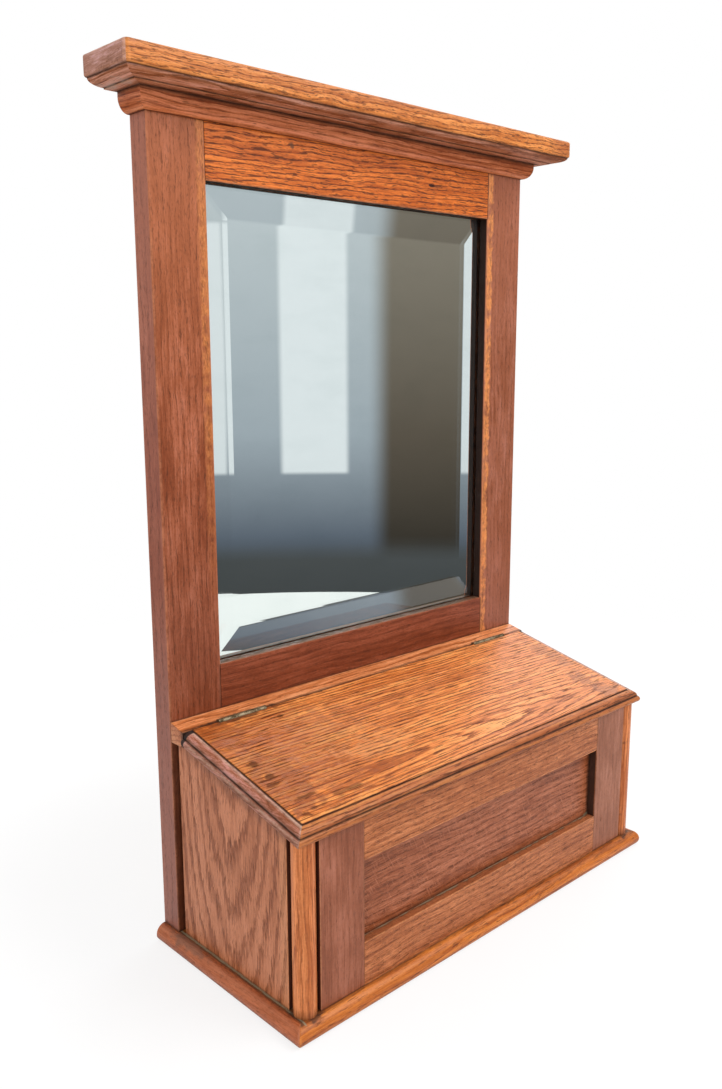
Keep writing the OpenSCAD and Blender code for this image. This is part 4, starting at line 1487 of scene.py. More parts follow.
@dataclass
class Cornice:
    """The cornice board and the two mitred mouldings under it, on three sides of the frame."""

    half_x: float = side_of("cornice_board", "+x")
    front_y: float = side_of("cornice_board", "-y")
    back_y: float = side_of("cornice_board", "+y")
    low_z: float = side_of("cornice_board", "-z")
    high_z: float = side_of("cornice_board", "+z")
    corner: float = 3.4
    arris: float = 2.2
    frame_x: float = side_of("cornice_ovolo_right", "-x")
    frame_y: float = side_of("cornice_ovolo_front", "+y")
    soffit_z: float = side_of("cornice_ovolo_front", "-z")
    ovolo_out: float = side_of("cornice_ovolo_right", "+x") - frame_x
    ovolo_run: float = 13.6
    ovolo_fillet: float = 0.9
    bed_low: float = side_of("bed_mould_front", "-z")
    bed_out: float = side_of("bed_mould_right", "+x") - frame_x
    bed_toe: float = 1.0
    bed_flat: float = 3.5
    curve_steps: int = 14

    def board(self) -> None:
        """Makes the cornice board: upright edges, with both arrises rounded, worn and highlighted."""
        r = self.arris
        upper = rows(arc((-r, self.high_z - r), (r, r), 90, 0, 6))
        upper[:, 2] = (0.3, 0.5, 0.8, 0.9, 0.6, 0.3, 0.1)
        lower = rows(arc((-r, self.low_z + r), (r, r), 0, -90, 5))
        lower[:, 2] = (0.1, 0.3, 0.35, 0.2, 0.0, 0.0)
        # Painted shade: the lower arris and the underside darken through grime_and_shade.
        lower[:, 3] = (0.0, 0.0, 0.1, 0.4, 0.8, 1.0)
        middle = rows((0.0, self.high_z - 5.5, 0.0, 0), (0.0, self.low_z + 5.5, 0, 0))
        top = rows((-14.0, self.high_z - 0.2, 0.1, 0), (-9.0, self.high_z, 0.1, 0))
        bottom = rows((-4.0, self.low_z, 0, 1.0), (-9.0, self.low_z, 0, 1.0))
        profile = np.vstack([top, upper, middle, lower, bottom])
        slab = Slab(self.half_x, self.front_y, self.back_y, profile, corner=self.corner, corner_wear_and_highlight=0.9,
                    spacing=6.0, uneven=0.4, seed=7)
        board = slab.build("cornice_worn_board")
        darker_end = Zone((166, 84, 42), 0.6, True, (236.0, None, None), OPEN, 18.0, 4.0)
        paint(board, OAK_CORNICE.material("cornice", None, (darker_end,)),
              OAK_CORNICE_END.material("cornice_end"))
        place(board, "cabinet", "cornice_board", "oak_cornice")
        paint(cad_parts["cornice_nails"], STEEL.material("cornice_nails"))

    def ovolo_section(self) -> np.ndarray:
        """Section of the upper moulding: a quarter ellipse, a small fillet and the flat soffit.

        Returns:
            Rows of (out, height, wear and highlight, grime and shade), round the section.
        """
        toe = self.ovolo_out - self.ovolo_run
        rise = self.low_z - self.soffit_z - self.ovolo_fillet
        bent = rows(arc((toe, self.low_z), (self.ovolo_run, rise), 0, -90, self.curve_steps))
        step = np.arange(self.curve_steps + 1)
        # Grime and painted shade in the hollows at both ends of the curve, at the fillet and in the corner by
        # the bed mould.
        bent[:, 3] = 0.9 * np.exp(-(step / 1.6) ** 2) + 0.95 * np.exp(-((self.curve_steps - step) / 1.1) ** 2)
        fillet = rows((toe, self.soffit_z + 0.6, 0.3, 0.6), (toe, self.soffit_z, 0.95, 0.0),
                      (toe - 0.7, self.soffit_z, 0.5, 0))
        flat = rows((toe - 1.8, self.soffit_z, 0.0, 0.0), (self.bed_out + 5.0, self.soffit_z, 0, 0.15),
                    (self.bed_out + 1.4, self.soffit_z, 0, 0.8), (self.bed_out, self.soffit_z, 0, 1.0))
        back_top = rows((0.0, self.low_z, 0, 1))
        back_foot = rows((0.0, self.soffit_z, 0, 1))
        return np.vstack([back_top, bent, fillet, flat, back_foot])

    def bed_section(self) -> np.ndarray:
        """Section of the lower moulding: a short upright face over a quarter ellipse.

        Returns:
            Rows of (out, height, wear and highlight, grime and shade), round the section.
        """
        start = self.soffit_z - self.bed_flat
        bent = rows(arc((self.bed_toe, start), (self.bed_out - self.bed_toe, start - self.bed_low), 0, -90,
                        self.curve_steps))
        step = np.arange(self.curve_steps + 1)
        bent[:, 2] = 0.8 * np.exp(-(11.2 - step) ** 2)
        # Painted shade: the bed mould's lower hollow, and below, its top under the soffit, darken through
        # grime_and_shade.
        bent[:, 3] = 0.9 * np.exp(-((self.curve_steps - step) / 0.8) ** 2)
        top = rows((0.0, self.soffit_z, 0, 1), (self.bed_out, self.soffit_z, 0, 1.0),
                   (self.bed_out, self.soffit_z - 1.0, 0, 0.7), (self.bed_out, self.soffit_z - 2.4, 0, 0.25))
        return np.vstack([top, bent, rows((0.0, self.bed_low, 0, 1))])

    def strip(self, name: str, node: str, section: np.ndarray, side: int, finish: Timber) -> None:
        """Carries a section along one side of the frame, mitred where it meets the next strip.

        A point of the front strip is (t (frame_x + out), frame_y - out, height), with t from -1 to 1. A
        point of a side strip is (side (frame_x + out), y, height), with y from frame_y - out to the wall.

        Args:
            name: Name of the piece.
            node: The node that it replaces.
            section: Rows of (out, height, wear and highlight, grime and shade).
            side: 0 for the front, -1 for the left and 1 for the right.
            finish: Its timber.
        """
        out, height, wear_and_highlight, grime_and_shade = (c[:, None] for c in section.T)
        if side:
            t = np.linspace(0, 1, 9)[None, :]
            y = (self.frame_y - out) * (1 - t) + self.back_y * t
            x = side * (self.frame_x + out) + 0 * y
        else:
            t = np.linspace(-1, 1, 61)[None, :]
            x = (self.frame_x + out) * t
            y = self.frame_y - out + 0 * x
        drawn = 0.12 * wear_and_highlight * ripple(x + y, 31 + len(name))
        points = np.stack([x - np.sign(x) * drawn * bool(side), y + drawn * (not side), height + 0 * x], -1)
        shell = Shell()
        index = shell.grid(np.concatenate([points, points[:1]]), np.concatenate([wear_and_highlight, wear_and_highlight[:1]]) + 0 * t,
                           np.concatenate([grime_and_shade, grime_and_shade[:1]]) + 0 * t)
        shell.cap(index[:-1, 0])
        shell.cap(index[:-1, -1][::-1])
        piece = shell.build(name, 28)
        dust = Zone((176, 162, 148), 0.5, False, (None, 60.0, None),
                    (-244.0, None, self.soffit_z + 0.5), 2.0, 2.5)
        paint(piece, finish.material(name, None, (dust,) if node == "cornice_ovolo_left" else ()))
        place(piece, "cabinet", node, "oak_moulding")

    def build(self) -> None:
        """Makes the board and the six strips."""
        self.board()
        for word, side in (("front", 0), ("left", -1), ("right", 1)):
            grain = Grain.DEPTH if side else Grain.ACROSS
            self.strip(f"ovolo_strip_{word}", f"cornice_ovolo_{word}", self.ovolo_section(), side,
                       replace(OAK_MOULDING, grain=grain))
            self.strip(f"bed_strip_{word}", f"bed_mould_{word}", self.bed_section(), side,
                       replace(OAK_BED, grain=grain))


@dataclass
class Box:
    """The two side panels, the round beads at the front corners, and the plain boards inside and behind."""

    side_x: float = side_of("right_side_panel", "+x")
    panel_front_y: float = side_of("right_side_panel", "-y")
    back_y: float = side_of("right_side_panel", "+y")
    low_z: float = side_of("right_side_panel", "-z")
    quirk: float = 6.0
    quirk_depth: float = 6.5
    bead_wear_and_highlight: float = 0.35
    bead_uneven: float = 0.012
    circle: BeadCircle = BeadCircle()
    plane: LidPlane = LidPlane()

    def panels(self) -> None:
        """Dresses the side panels: painted shade in the quirk and under the lid, darker and dusty along the
        base.
        """
        plane = self.plane
        rise = math.tan(plane.tilt)
        for side, node in ((-1, "left_side_panel"), (1, "right_side_panel")):
            groove = span(side, self.side_x - self.quirk_depth - 0.4, self.side_x - 0.25)
            marks = (
                Zone((206, 140, 92), 0.3, True, OPEN, (None, self.panel_front_y + 9.0, None), 2.5, 1.5),
                # Painted shade and dust under the lid; painted shade in the quirk at the back of the panel
                # and in the groove at its front.
                Eaves((104, 66, 52), 0.6, False, plane.rest_z(0.0), rise, 16.0),
                Zone(DARK_STAIN_AND_SHADE, 0.93, False, (groove[0], self.back_y - self.quirk - 0.3, None),
                     (groove[1], None, None), 0.25),
                Zone(DARK_STAIN_AND_SHADE, 0.93, False, (groove[0], None, None),
                     (groove[1], self.panel_front_y + 0.4, None), 0.3),
                Zone(GRIME_AND_SHADE, 0.55, False, OPEN, (None, None, self.low_z + 1.6), 1.6, 0.8),
                Zone(DUST, 0.4, False, OPEN, (None, None, self.low_z + 0.5), 0.6, 0.4),
            )
            wood = replace(OAK_SIDE, heart=(-side * OAK_SIDE.heart[0], OAK_SIDE.heart[1]),
                           lean=(-side * OAK_SIDE.lean[0], OAK_SIDE.lean[1]))
            dress(node, wood, 0.0 if side < 0 else 0.4, marks, 0.35, 1.2)

    def bead(self, name: str, node: str, side: int) -> None:
        """Makes a corner bead: three quarters of a circle and a square core, cut to the lid's slope on top.

        In plan the points are centre + (r cos a, r sin a) from a = -180 to 90 degrees, then the core's
        corners. The height of each upright line goes evenly from the base to the sloping plane.

        Args:
            name: Name of the piece.
            node: The node that it replaces.
            side: -1 for the left and 1 for the right.
        """
        centre_x, centre_y, r = self.circle.x, self.circle.y, self.circle.r
        first, last, steps = -180, 90, 36
        a = np.linspace(first, last, steps + 1)
        round_part = arc((centre_x, centre_y), (r, r), first, last, steps)
        core = np.array([(centre_x, self.panel_front_y), (centre_x - r, self.panel_front_y)])
        plan = np.vstack([round_part, core])
        # Painted shade: the side of the bead turned into the groove, and its foot, darken through
        # grime_and_shade.
        hidden = np.clip((np.abs(a + 45) - 92) / 26, 0, 1)
        grime_and_shade = np.concatenate([hidden, [1.0, 1.0]])
        # Wear and painted highlight down the bead's outer front.
        front = np.exp(-((a + 45) / 22) ** 2) * self.bead_wear_and_highlight
        wear_and_highlight = np.concatenate([front, [0.0, 0.0]])
        t = np.linspace(0, 1, 17)[:, None]
        top = self.plane.rest_z(plan[:, 1])[None, :]
        z = self.low_z + (top - self.low_z) * t
        thin = 1 - self.bead_uneven * ripple(z + 90 * side, 17)
        x = centre_x + (plan[None, :, 0] - centre_x) * thin
        y = centre_y + (plan[None, :, 1] - centre_y) * thin
        foot = np.clip(1 - (z - self.low_z) / 4, 0, 1) * 0.6
        shell = Shell()
        index = shell.grid(np.stack([side * x, y, z], -1), wear_and_highlight + 0 * t, np.maximum(grime_and_shade + 0 * t, foot),
                           closed=True)
        shell.cap(index[0])
        shell.cap(index[-1][::-1])
        piece = shell.build(name, 40)
        knots = (Spot(KNOT, 0.5, False, (side * 211.0, centre_y - 8.0, 118.0), (1.6, 3.0, 1.8)),
                 Spot(KNOT, 0.4, False, (side * 211.0, centre_y - 8.0, 38.0), (1.4, 3.0, 1.6)))
        paint(piece, replace(OAK_BEAD, seed=OAK_BEAD.seed + side * 0.2).material(name, None, knots))
        place(piece, "cabinet", node, "oak_bead")

    def build(self) -> None:
        """Dresses the panels, makes the beads and finishes the boards that seldom show."""
        self.panels()
        self.bead("round_bead_left", "left_corner_bead", -1)
        self.bead("round_bead_right", "right_corner_bead", 1)
        dress("corner_glue_blocks", replace(PINE, grain=Grain.UPRIGHT), 0.9, (), 0.3)
        dress("box_back_panel", PINE, 0.2)
        log.info("box: panels, glue blocks and back dressed")


@dataclass
class BoxFront:
    """The framed front of the box with its recessed panel."""

    sight_x: float = side_of("front_right_stile", "-x")
    half_x: float = side_of("front_right_stile", "+x")
    front_y: float = side_of("front_right_stile", "-y")
    back_y: float = side_of("front_right_stile", "+y")
    low_z: float = side_of("front_right_stile", "-z")
    high_z: float = LidPlane().rest_z(front_y)
    sight_low: float = side_of("front_bottom_rail", "+z")
    sight_high: float = side_of("front_top_rail", "-z")
    shade: float = 2.4

    def stiles(self) -> None:
        """Dresses the two stiles, with painted shade in the recess and in the groove beside the bead."""
        for side, node in ((-1, "front_left_stile"), (1, "front_right_stile")):
            left = side < 0
            inner = span(side, self.sight_x - 1.5, self.sight_x + 0.8)
            joint = span(side, self.sight_x - 1.5, self.sight_x + 0.7)
            outer = span(side, self.half_x - 0.3, self.half_x + 1)
            marks = (
                # Painted shade on the side of the recess, a dark joint line, and painted shade in the groove
                # beside the bead.
                Zone(RECESS_SHADE, 0.88, False, (inner[0], self.front_y + 1.0, self.sight_low),
                     (inner[1], None, self.sight_high), 0.5),
                Zone(DARK_STAIN_AND_SHADE, 0.45, False, (joint[0], None, None),
                     (joint[1], self.front_y + 0.5, None), 0.25),
                Zone(DARK_STAIN_AND_SHADE, 0.93, False, (outer[0], self.front_y + 0.6, None),
                     (outer[1], None, None), 0.3),
                Zone(GRIME_AND_SHADE, 0.65, False, OPEN, (None, None, self.low_z + 1.2), 1.0, 0.5),
            )
            wood = OAK_FRONT_STILE if left else replace(OAK_FRONT_STILE, tone=(152, 90, 61))
            low_x, high_x = span(side, self.sight_x, self.half_x)
            dress(node, wood, 0.0 if left else 0.31, marks, 0.35, 1.3, (low_x, self.front_y, self.low_z),
                  (high_x, self.back_y, self.high_z))

    def rails(self) -> None:
        """Dresses the two rails, with dust on the ledge of the lower one."""
        dress("front_top_rail", OAK_FRONT_RAIL, 0.0, (), 0.35, 1.3,
              (-self.sight_x, self.front_y, self.sight_high), (self.sight_x, self.back_y, self.high_z))
        ledge = self.sight_low - 0.3
        marks = (
            Zone((150, 88, 58), 0.55, True, (None, None, ledge), OPEN, 0.3),
            # Grime and painted shade in the corner between the ledge and the panel.
            Zone(GRIME_AND_SHADE, 0.6, False, (None, self.front_y + 5.6, ledge), OPEN, 1.2, 1.2),
            Zone(DUST, 0.55, False, (None, self.front_y + 7.0, ledge), OPEN, 0.8, 1.0),
            Zone(GRIME_AND_SHADE, 0.6, False, OPEN, (None, None, self.low_z + 1.0), 0.8, 0.5),
        )
        dress("front_bottom_rail", OAK_FRONT_RAIL, 0.53, marks, 0.35, 1.5,
              (-self.sight_x, self.front_y, self.low_z), (self.sight_x, self.back_y, self.sight_low))

    def panel(self) -> None:
        """Dresses the recessed panel, darkened along the border of its opening by grime and painted shade."""
        near = self.shade
        # Grime and painted shade of the recess round the panel's border, then dust along its bottom and in
        # the lower right corner.
        marks = (
            Zone(GRIME_AND_SHADE, 0.7, False, OPEN, (None, None, self.sight_low + near * 0.5), near, 1.0),
            Zone(GRIME_AND_SHADE, 0.4, False, (None, None, self.sight_high - near * 0.5), OPEN, near, 1.0),
            Zone(RECESS_SHADE, 0.8, False, (self.sight_x - near, None, None), OPEN, near, 1.0),
            Zone(GRIME_AND_SHADE, 0.55, False, OPEN, (-self.sight_x + near * 0.7, None, None), near, 1.0),
            Zone(DUST, 0.7, False, (self.sight_x - 6.0, None, None),
                 (None, None, self.sight_low + 2.0), 1.2, 1.2),
            Zone(DUST, 0.5, False, OPEN, (5.0 - self.sight_x, None, self.sight_low + 1.4), 1.2, 1.2),
        )
        dress("front_panel", OAK_PANEL, 0.0, marks)

    def build(self) -> None:
        """Dresses the whole front."""
        self.stiles()
        self.rails()
        self.panel()
        log.info("box front: 2 stiles, 2 rails and the panel dressed")


@dataclass
class Lid:
    """The sloping lid with its moulded edge, and the fixed rail that it hangs from."""

    plane: LidPlane = LidPlane()
    tilt: float = plane.tilt
    thick: float = plane.thick
    rail_y: float = plane.rail_y
    back_z: float = plane.rail_z
    rail_back_y: float = side_of("hinge_rail", "+y")
    back_y: float = side_of("lid_board", "+y")
    quirk: float = 0.9
    flat: float = 0.7
    ovolo_w: float = 8.0
    ovolo_h: float = 4.0
    step: float = 0.6
    nosing_r: float = 3.2
    field_x: float = side_of("lid_board", "+x") - flat - ovolo_w - nosing_r
    field_len: float = 148.511
    hinge_x: float = (side_of("right_hinge_pin", "-x") + side_of("right_hinge_pin", "+x")) / 2
    hinge_len: float = side_of("right_hinge_pin", "+x") - side_of("right_hinge_pin", "-x")
    pin_y: float = (side_of("right_hinge_pin", "-y") + side_of("right_hinge_pin", "+y")) / 2
    pin_z: float = (side_of("right_hinge_pin", "-z") + side_of("right_hinge_pin", "+z")) / 2
    seat_z: float = side_of("right_lid_leaf", "-z")
    leaf_seat: float = 1.0
    knuckle_gap: float = 0.15
    clear_r: float = 3.1

    def profile(self) -> np.ndarray:
        """Edge from the field down: a quirk, an ovolo, a small quirk and a round nosing.

        Returns:
            Rows of (out, height below the field, wear and highlight, grime and shade).
        """
        low = -self.quirk - self.ovolo_h
        nose = self.flat + self.ovolo_w
        ovolo = rows(arc((self.flat, low), (self.ovolo_w, self.ovolo_h), 90, 0, 12)[1:])
        # Wear and painted highlight on the top of the ovolo; painted shade darkening its lower part.
        ovolo[:, 2] = (1.0, 0.7, 0.25, 0, 0, 0, 0, 0, 0, 0.1, 0.3, 0.0)
        ovolo[:, 3] = (0.0, 0.0, 0.0, 0, 0, 0.05, 0.1, 0.15, 0.22, 0.32, 0.55, 1.0)
        middle = -self.thick + self.step / 2 + self.nosing_r
        nosing = rows(arc((nose, middle), (self.nosing_r, self.nosing_r), 90, -90, 14))
        # Wear and painted highlight on the nosing's upper curve; painted shade round its underside.
        nosing[:, 2] = 0.6 * np.exp(-((np.arange(15) - 4.0) / 1.8) ** 2)
        nosing[:, 3] = np.maximum(np.exp(-(np.arange(15) / 1.5) ** 2), 0.2)
        field_rows = rows((-26.0, 0.0, 0, 0), (-5.0, 0.0, 0, 0), (-1.2, 0.0, 0.25, 0),
                          (-0.35, -0.02, 0.3, 0.2), (0.0, -0.2, 0.1, 0.8))
        groove = rows((0.0, -self.quirk, 0, 1), (self.flat, -self.quirk, 0, 1))
        under = rows((nose, low - self.step * 0.8, 0, 0.9), (nose - self.step, low - self.step, 0, 1))
        bottom = rows((nose - self.step, -self.thick, 0, 0.5), (-6.0, -self.thick, 0, 0.2),
                      (-26.0, -self.thick, 0, 0))
        return np.vstack([field_rows, groove, ovolo, under, nosing, bottom])

    def notch_depth(self, z: np.ndarray) -> np.ndarray:
        """How far the hinge seats are cut into the back edge at each height.

        It is the leaf's seat from its lower end up, and round the barrel the half width of a circle about the
        pin, sqrt(r^2 - (z - pin_z)^2).

        Args:
            z: Heights in the model's frame.

        Returns:
            Depths forwards of the back edge.
        """
        seat = np.where(z > self.seat_z, self.leaf_seat, 0.0)
        half = np.sqrt(np.clip(self.clear_r ** 2 - (z - self.pin_z) ** 2, 0, None))
        barrel = np.where(half > 0, self.back_y - (self.pin_y - half), 0.0)
        return np.maximum(seat, barrel)

    def along(self, y: np.ndarray, h: np.ndarray) -> np.ndarray:
        """Returns the distance up the slope at which height h above the field stands over the depth y."""
        return (y - self.rail_y + h * math.sin(self.tilt)) / math.cos(self.tilt)

    def board(self) -> None:
        """Makes the lid: loops of the profile in the lid's own plane, turned to its slope.

        A point (x, s, h) goes to (x, rail_y + s cos a - h sin a, back_z + s sin a + h cos a), with a the
        tilt. The back edge lies in the upright plane y = back_y, less the hinge notches.
        """
        out, height, wear_and_highlight, grime_and_shade = self.profile().T
        a = self.tilt
        reach = self.hinge_len / 2 + self.knuckle_gap
        xs = np.repeat([self.hinge_x + reach, self.hinge_x - reach, reach - self.hinge_x,
                        -self.hinge_x - reach], 2)
        inside = np.array([0, 1, 1, 0, 0, 1, 1, 0])
        flat_back = self.along(np.full(len(height), self.back_y), height)
        z_back = self.back_z + flat_back * math.sin(a) + height * math.cos(a)
        deep = self.notch_depth(z_back)[:, None] * inside[None, :]
        back = self.along(self.back_y - deep, height[:, None] + 0 * deep)
        notches = np.stack([np.broadcast_to(xs, back.shape), back], -1)
        corner = np.clip(0.4 + out * 0.1, 0.1, None)
        plan = Edge(self.field_x, -self.field_len, 6.0).plan(out, flat_back, corner, notches)
        x, s = plan.points[..., 0], plan.points[..., 1]
        h = height[:, None] - wear_and_highlight[:, None] * 0.2 * ripple(x + s, 23)
        points = np.stack([x, self.rail_y + s * math.cos(a) - h * math.sin(a),
                           self.back_z + s * math.sin(a) + h * math.cos(a)], -1)
        outside = (out > 0.1)[:, None]
        wear_and_highlight = np.maximum(wear_and_highlight[:, None], 0.6 * plan.turns[None, :] * outside)
        shell = Shell()
        index = shell.grid(points, wear_and_highlight, grime_and_shade[:, None], closed=True,
                           slot=plan.ends[None, :] & outside[1:])
        shell.cap(index[0])
        shell.cap(index[-1][::-1])
        piece = shell.build("moulded_lid", 30)
        # Painted shade of the gap behind the lid, at the back of its moulded ends.
        gap_shade_wedge = Zone((22, 14, 10), 0.95, False, (None, self.back_y - 3.6, None), OPEN, 0.6, 0.3)
        paint(piece, OAK_LID.material("lid", None, self.marks()),
              OAK_LID_END.material("lid_end", None, (gap_shade_wedge,)))
        place(piece, "lid", "lid_board", "oak_lid")

    def on_field(self, x: float, forward: float) -> Triple:
        """Returns the point of the lid's upper face at x and a distance down the slope."""
        down = forward * math.sin(self.tilt)
        return (x, self.rail_y - forward * math.cos(self.tilt), self.back_z - down)

    def marks(self) -> tuple[Mark, ...]:
        """Bruises, ink marks, hand grease, a painted highlight on the right third and painted shade of the
        back gap.

        Returns:
            The marks, in the order in which they are laid.
        """
        brown = (146, 64, 12)
        nosing_y = self.on_field(0.0, self.field_len)[1]
        return (
            # Painted highlight: the right third of the lid is lightened for the sheen of light on its
            # varnish.
            Zone((240, 150, 88), 0.35, True, (110.0, None, None), OPEN, 90.0),
            Spot(brown, 0.36, True, self.on_field(-170.0, 60.0), (90.0, 90.0, 60.0)),
            Spot((248, 164, 100), 0.45, True, self.on_field(-92.0, 96.0), (42.0, 15.0, 12.0)),
            Spot(brown, 0.5, True, self.on_field(-200.0, 100.0), (26.0, 48.0, 20.0)),
            Spot(brown, 0.45, True, self.on_field(-205.0, 20.0), (24.0, 26.0, 20.0)),
            Spot((150, 82, 48), 0.5, True, self.on_field(192.0, 112.0), (14.0, 14.0, 12.0)),
            Spot((150, 96, 70), 0.45, True, self.on_field(196.0, 140.0), (18.0, 12.0, 12.0)),
            Spot((150, 88, 52), 0.4, True, self.on_field(206.0, 60.0), (12.0, 40.0, 14.0)),
            Spot(OLD_INK, 0.6, False, self.on_field(-207.0, 68.0), (5.5, 4.0, 4.0)),
            Spot(OLD_INK, 0.6, False, self.on_field(-206.0, 88.0), (6.0, 3.5, 4.0)),
            Spot(OLD_INK, 0.5, False, self.on_field(-207.0, 98.0), (8.0, 3.0, 4.0)),
            Spot(OLD_INK, 0.45, False, self.on_field(-197.0, 123.0), (11.0, 2.2, 3.0)),
            Spot(OLD_INK, 0.4, False, self.on_field(-195.0, 138.0), (9.0, 2.0, 3.0)),
            Spot((74, 32, 14), 0.65, False, self.on_field(-208.0, 141.0), (4.0, 3.0, 3.0)),
            Spot((64, 28, 12), 0.6, False, self.on_field(-139.6, 19.6), (3.0, 2.6, 2.6)),
            Spot(OLD_INK, 0.45, False, self.on_field(-160.0, 133.0), (16.0, 2.2, 3.0)),
            Spot(OLD_INK, 0.75, False, self.on_field(-201.0, 0.5), (12.0, 2.6, 3.0)),
            Spot(OLD_INK, 0.75, False, self.on_field(-134.0, 0.5), (9.0, 2.6, 3.0)),
            Spot(OLD_INK, 0.7, False, self.on_field(-90.0, 0.5), (26.0, 2.4, 3.0)),
            Spot(OLD_INK, 0.6, False, self.on_field(-self.hinge_x, 4.6), (30.0, 3.0, 4.0)),
            Spot(OLD_INK, 0.4, False, self.on_field(self.hinge_x, 4.4), (30.0, 2.4, 4.0)),
            Zone((150, 78, 42), 0.6, True, OPEN, (None, nosing_y - 0.6, None), 0.4),
            Zone(GAP_SHADE, 0.9, False, (None, self.back_y - 0.9, None), OPEN, 0.5, 0.3),
        )

    def build(self) -> None:
        """Makes the lid and dresses the rail behind it."""
        self.board()
        marks = (
            # Painted shade: the rail's front face and the front of its top, under the lid's back edge, are
            # dark in the gap.
            Zone(GAP_SHADE, 0.96, False, OPEN, (None, self.rail_y + 0.45, None), 0.35, 0.1),
            Zone((44, 24, 14), 0.6, False, OPEN, (None, self.rail_y + 3.4, None), 1.0, 0.7),
            Zone(GRIME_AND_SHADE, 0.6, False, (None, self.rail_back_y - 0.6, None), OPEN, 0.6, 0.4),
            Zone((126, 72, 48), 0.55, True, OPEN, (-227.6, None, None), 0.3),
            Spot(OLD_INK, 0.6, False, (-201.0, self.rail_y, 205.8), (12.0, 3.0, 3.0)),
            Spot(OLD_INK, 0.6, False, (-134.0, self.rail_y, 205.8), (9.0, 3.0, 3.0)),
            Spot(HINGE_SHADE, 0.6, False, (-self.hinge_x, self.rail_y + 2.6, self.back_z), (31.0, 3.4, 4.0)),
            Spot(HINGE_SHADE, 0.5, False, (self.hinge_x, self.rail_y + 2.6, self.back_z), (31.0, 2.8, 4.0)),
        )
        dress("hinge_rail", OAK_HINGE_RAIL, 0.0, marks, 0.4, 1.6)


@dataclass
class Hinges:
    """The two brass butt hinges with their pins and screws."""

    sides: tuple[str, ...] = ("left", "right")
    leaves: tuple[str, ...] = ("rail_leaf", "lid_leaf")

    def build(self) -> None:
        """Dresses the leaves, the pins and the screws."""
        for side in self.sides:
            for leaf in self.leaves:
                node = f"{side}_{leaf}"
                paint(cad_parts[node], replace(BRASS, seed=BRASS.seed + len(node)).material(node))
            paint(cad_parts[f"{side}_hinge_pin"], STEEL.material(f"{side}_hinge_pin"))
        for node in ("rail_leaf_screws", "lid_leaf_screws"):
            paint(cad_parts[node], BRASS_SCREW.material(node))
        log.info("hinges: 4 leaves, 2 pins and 12 screws dressed")


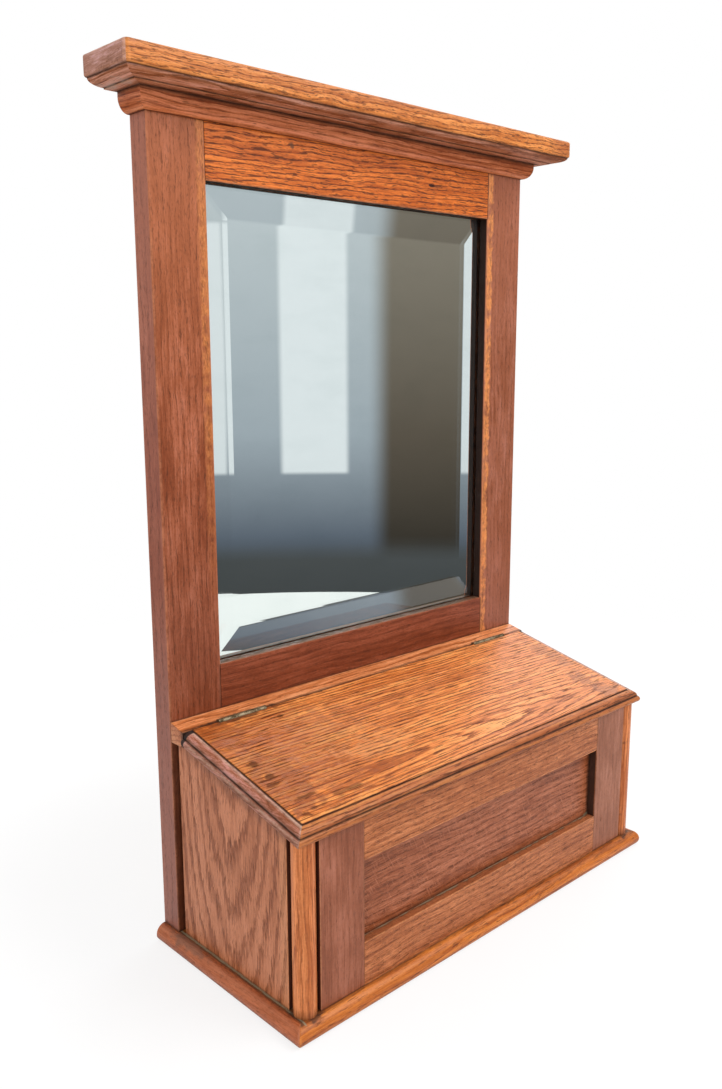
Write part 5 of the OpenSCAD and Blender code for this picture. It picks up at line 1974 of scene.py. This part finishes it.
@dataclass
class Studio:
    """A pale floor, soft light and the camera of the photograph."""

    floor_r: float = 1110.0
    floor_gap: float = 0.3
    near_r: float = 300.0
    far_r: float = 700.0
    glow: float = 0.72
    eye: Triple = (-656.2, -616.8, 516.6)
    yaw: float = 43.15
    pitch: float = -10.87
    roll: float = -0.17
    lens: float = 32.86
    pale_end: float = 43.5
    panel_lean: Pair = (38.4, 42.6)
    panel_rise: Pair = (-0.12, 0.125)

    def floor(self) -> None:
        """Lays a round floor, which keeps the shadow near the object and is pure white far off.

        Its points are (r cos t, r sin t, -floor_gap).
        """
        r = np.linspace(0.02, 1, 24)[:, None] * self.floor_r
        t = np.linspace(0, 2 * np.pi, 96, endpoint=False)[None, :]
        points = np.stack([r * np.cos(t), r * np.sin(t), 0 * r * t - self.floor_gap], -1)
        shell = Shell()
        index = shell.grid(points, closed=True)
        shell.cap(index[0])
        ground = shell.build("studio_floor")
        graph = Surface("pale_floor")
        x, y, _ = graph.split(graph.spot)
        far = graph.ease(graph.length(x, y), self.near_r, self.far_r, self.glow, 1.0)
        tree = graph.tree
        light = tree.nodes.new("ShaderNodeLightPath")
        seen = graph.math("MAXIMUM", light.outputs["Is Camera Ray"], light.outputs["Is Glossy Ray"])
        seen = graph.math("MAXIMUM", seen, light.outputs["Is Transmission Ray"])
        speck = graph.noise((40.0, 40.0, 40.0), 2.0, 3)
        paper = graph.mix(speck, (0.9, 0.9, 0.9, 1), (0.94, 0.94, 0.94, 1))
        graph.feed(graph.shader.inputs["Base Color"], paper)
        graph.feed(graph.shader.inputs["Roughness"], 0.9)
        graph.shader.inputs["Specular IOR Level"].default_value = 0.1
        glow = tree.nodes.new("ShaderNodeEmission")
        glow.inputs["Color"].default_value = (1, 1, 1, 1)
        glow.inputs["Strength"].default_value = 1.06
        both = tree.nodes.new("ShaderNodeMixShader")
        graph.feed(both.inputs[0], graph.math("MULTIPLY", far, seen))
        graph.feed(both.inputs[1], graph.shader.outputs[0])
        graph.feed(both.inputs[2], glow.outputs[0])
        graph.feed(tree.nodes["Material Output"].inputs["Surface"], both.outputs[0])
        paint(ground, graph.material)

    def world(self) -> None:
        """Surrounds the object with soft light: white behind it, and a plain room for the mirror to show.

        The room that glossy and transmitted rays meet depends on the direction alone: a dark floor, and
        above it a wall that grows paler upwards, with a paler and a darker half and a bright light panel in
        the pale one.
        """
        made = bpy.data.worlds.new("soft_studio")
        made.use_nodes = True
        bpy.context.scene.world = made
        tree = made.node_tree
        tree.nodes.clear()
        graph = Nodes(tree)
        new = tree.nodes.new
        x, y, z = graph.split(new("ShaderNodeTexCoord").outputs["Generated"])
        level = graph.scaled(z, 0.5, 0.5)
        carpet = [(0.0, linear((120, 120, 120))), (0.34, linear((58, 60, 62))), (0.4, linear((80, 82, 84)))]
        pale = graph.ramp(level, carpet + [(0.408, linear((96, 104, 118))), (0.46, linear((170, 178, 188))),
                                           (0.6, linear((214, 219, 224))), (1.0, linear((255, 255, 255)))])
        deep = graph.ramp(level, carpet + [(0.408, linear((62, 56, 50))), (0.46, linear((98, 88, 78))),
                                           (0.6, linear((156, 146, 134))), (1.0, linear((255, 255, 255)))])
        lean = graph.scaled(graph.math("ARCTAN2", x, graph.math("MULTIPLY", y, -1.0)), math.degrees(1.0))
        room = graph.mix(graph.ease(lean, self.pale_end, self.pale_end + 1.5), pale, deep)
        start, end = self.panel_lean
        foot, top = self.panel_rise
        panel = graph.math("MULTIPLY", graph.ease(lean, start, start + 0.4), graph.ease(lean, end, end - 0.4))
        panel = graph.math("MULTIPLY", panel, graph.ease(z, foot, foot + 0.005))
        panel = graph.math("MULTIPLY", panel, graph.ease(z, top, top - 0.005))
        room = graph.mix(graph.scaled(panel, 0.85), room, (0.94, 0.96, 1.0, 1.0))
        light = new("ShaderNodeLightPath")
        mirrored = graph.math("MAXIMUM", light.outputs["Is Glossy Ray"], light.outputs["Is Transmission Ray"])
        colour = graph.mix(mirrored, (0.62, 0.62, 0.62, 1.0), room)
        colour = graph.mix(light.outputs["Is Camera Ray"], colour, (1.0, 1.0, 1.0, 1.0))
        ground = new("ShaderNodeBackground")
        graph.feed(ground.inputs["Color"], colour)
        output = new("ShaderNodeOutputWorld")
        graph.feed(output.inputs["Surface"], ground.outputs[0])

    def lamp(self, name: str, spot: Triple, aim: Triple, size: float, power: float) -> None:
        """Hangs a soft square lamp.

        Args:
            name: Name of the lamp.
            spot: Its place in metres.
            aim: The point it faces.
            size: Length of its sides in metres.
            power: Its power in watts.
        """
        data = bpy.data.lights.new(name, "AREA")
        data.size = size
        data.energy = power
        made = bpy.data.objects.new(name, data)
        bpy.context.scene.collection.objects.link(made)
        back = np.asarray(spot) - np.asarray(aim)
        back = back / np.linalg.norm(back)
        side = np.cross((0.0, 0.0, 1.0), back)
        side = side / np.linalg.norm(side)
        turn = np.eye(4)
        turn[:3, :3] = np.stack([side, np.cross(back, side), back], -1)
        turn[:3, 3] = spot
        made.matrix_world = Matrix(turn.tolist())

    def camera(self) -> None:
        """Sets up the camera, which looks along (sin yaw cos pitch, cos yaw cos pitch, sin pitch), rolled."""
        yaw, pitch, roll = (math.radians(a) for a in (self.yaw, self.pitch, self.roll))
        level = math.cos(pitch)
        ahead = np.array([math.sin(yaw) * level, math.cos(yaw) * level, math.sin(pitch)])
        right = np.array([math.cos(yaw), -math.sin(yaw), 0.0])
        up = np.cross(right, ahead)
        side = math.cos(roll) * right + math.sin(roll) * up
        top = -math.sin(roll) * right + math.cos(roll) * up
        turn = np.eye(4)
        turn[:3, :3] = np.stack([side, top, -ahead], -1)
        turn[:3, 3] = np.asarray(self.eye) * MM
        data = bpy.data.cameras.new("photo_camera")
        data.lens = self.lens
        data.sensor_width = 36.0
        data.clip_start = 0.02
        made = bpy.data.objects.new("photo_camera", data)
        bpy.context.scene.collection.objects.link(made)
        made.matrix_world = Matrix(turn.tolist())
        bpy.context.scene.camera = made

    def build(self) -> None:
        """Sets up the whole studio."""
        bpy.context.scene.view_settings.view_transform = "Standard"
        self.camera()
        self.floor()
        self.world()
        self.lamp("soft_key", (0.9, -1.3, 1.9), (0.0, 0.0, 0.35), 1.4, 26.0)
        self.lamp("soft_fill", (-1.7, -0.5, 1.2), (0.0, 0.0, 0.35), 1.4, 10.0)
        self.lamp("soft_back", (1.55, 0.6, 1.1), (0.15, -0.05, 0.19), 1.0, 6.0)
        log.info("studio: camera, floor, world and 3 lamps")


def main() -> None:
    logging.basicConfig(level=logging.INFO, format="%(name)s: %(message)s")
    for kind in (Studio, Base, MirrorFrame, MirrorPlate, Cornice, Box, BoxFront, Lid, Hinges):
        kind().build()
        log.info("%s done", kind.__name__)


if __name__ == "__main__":
    main()
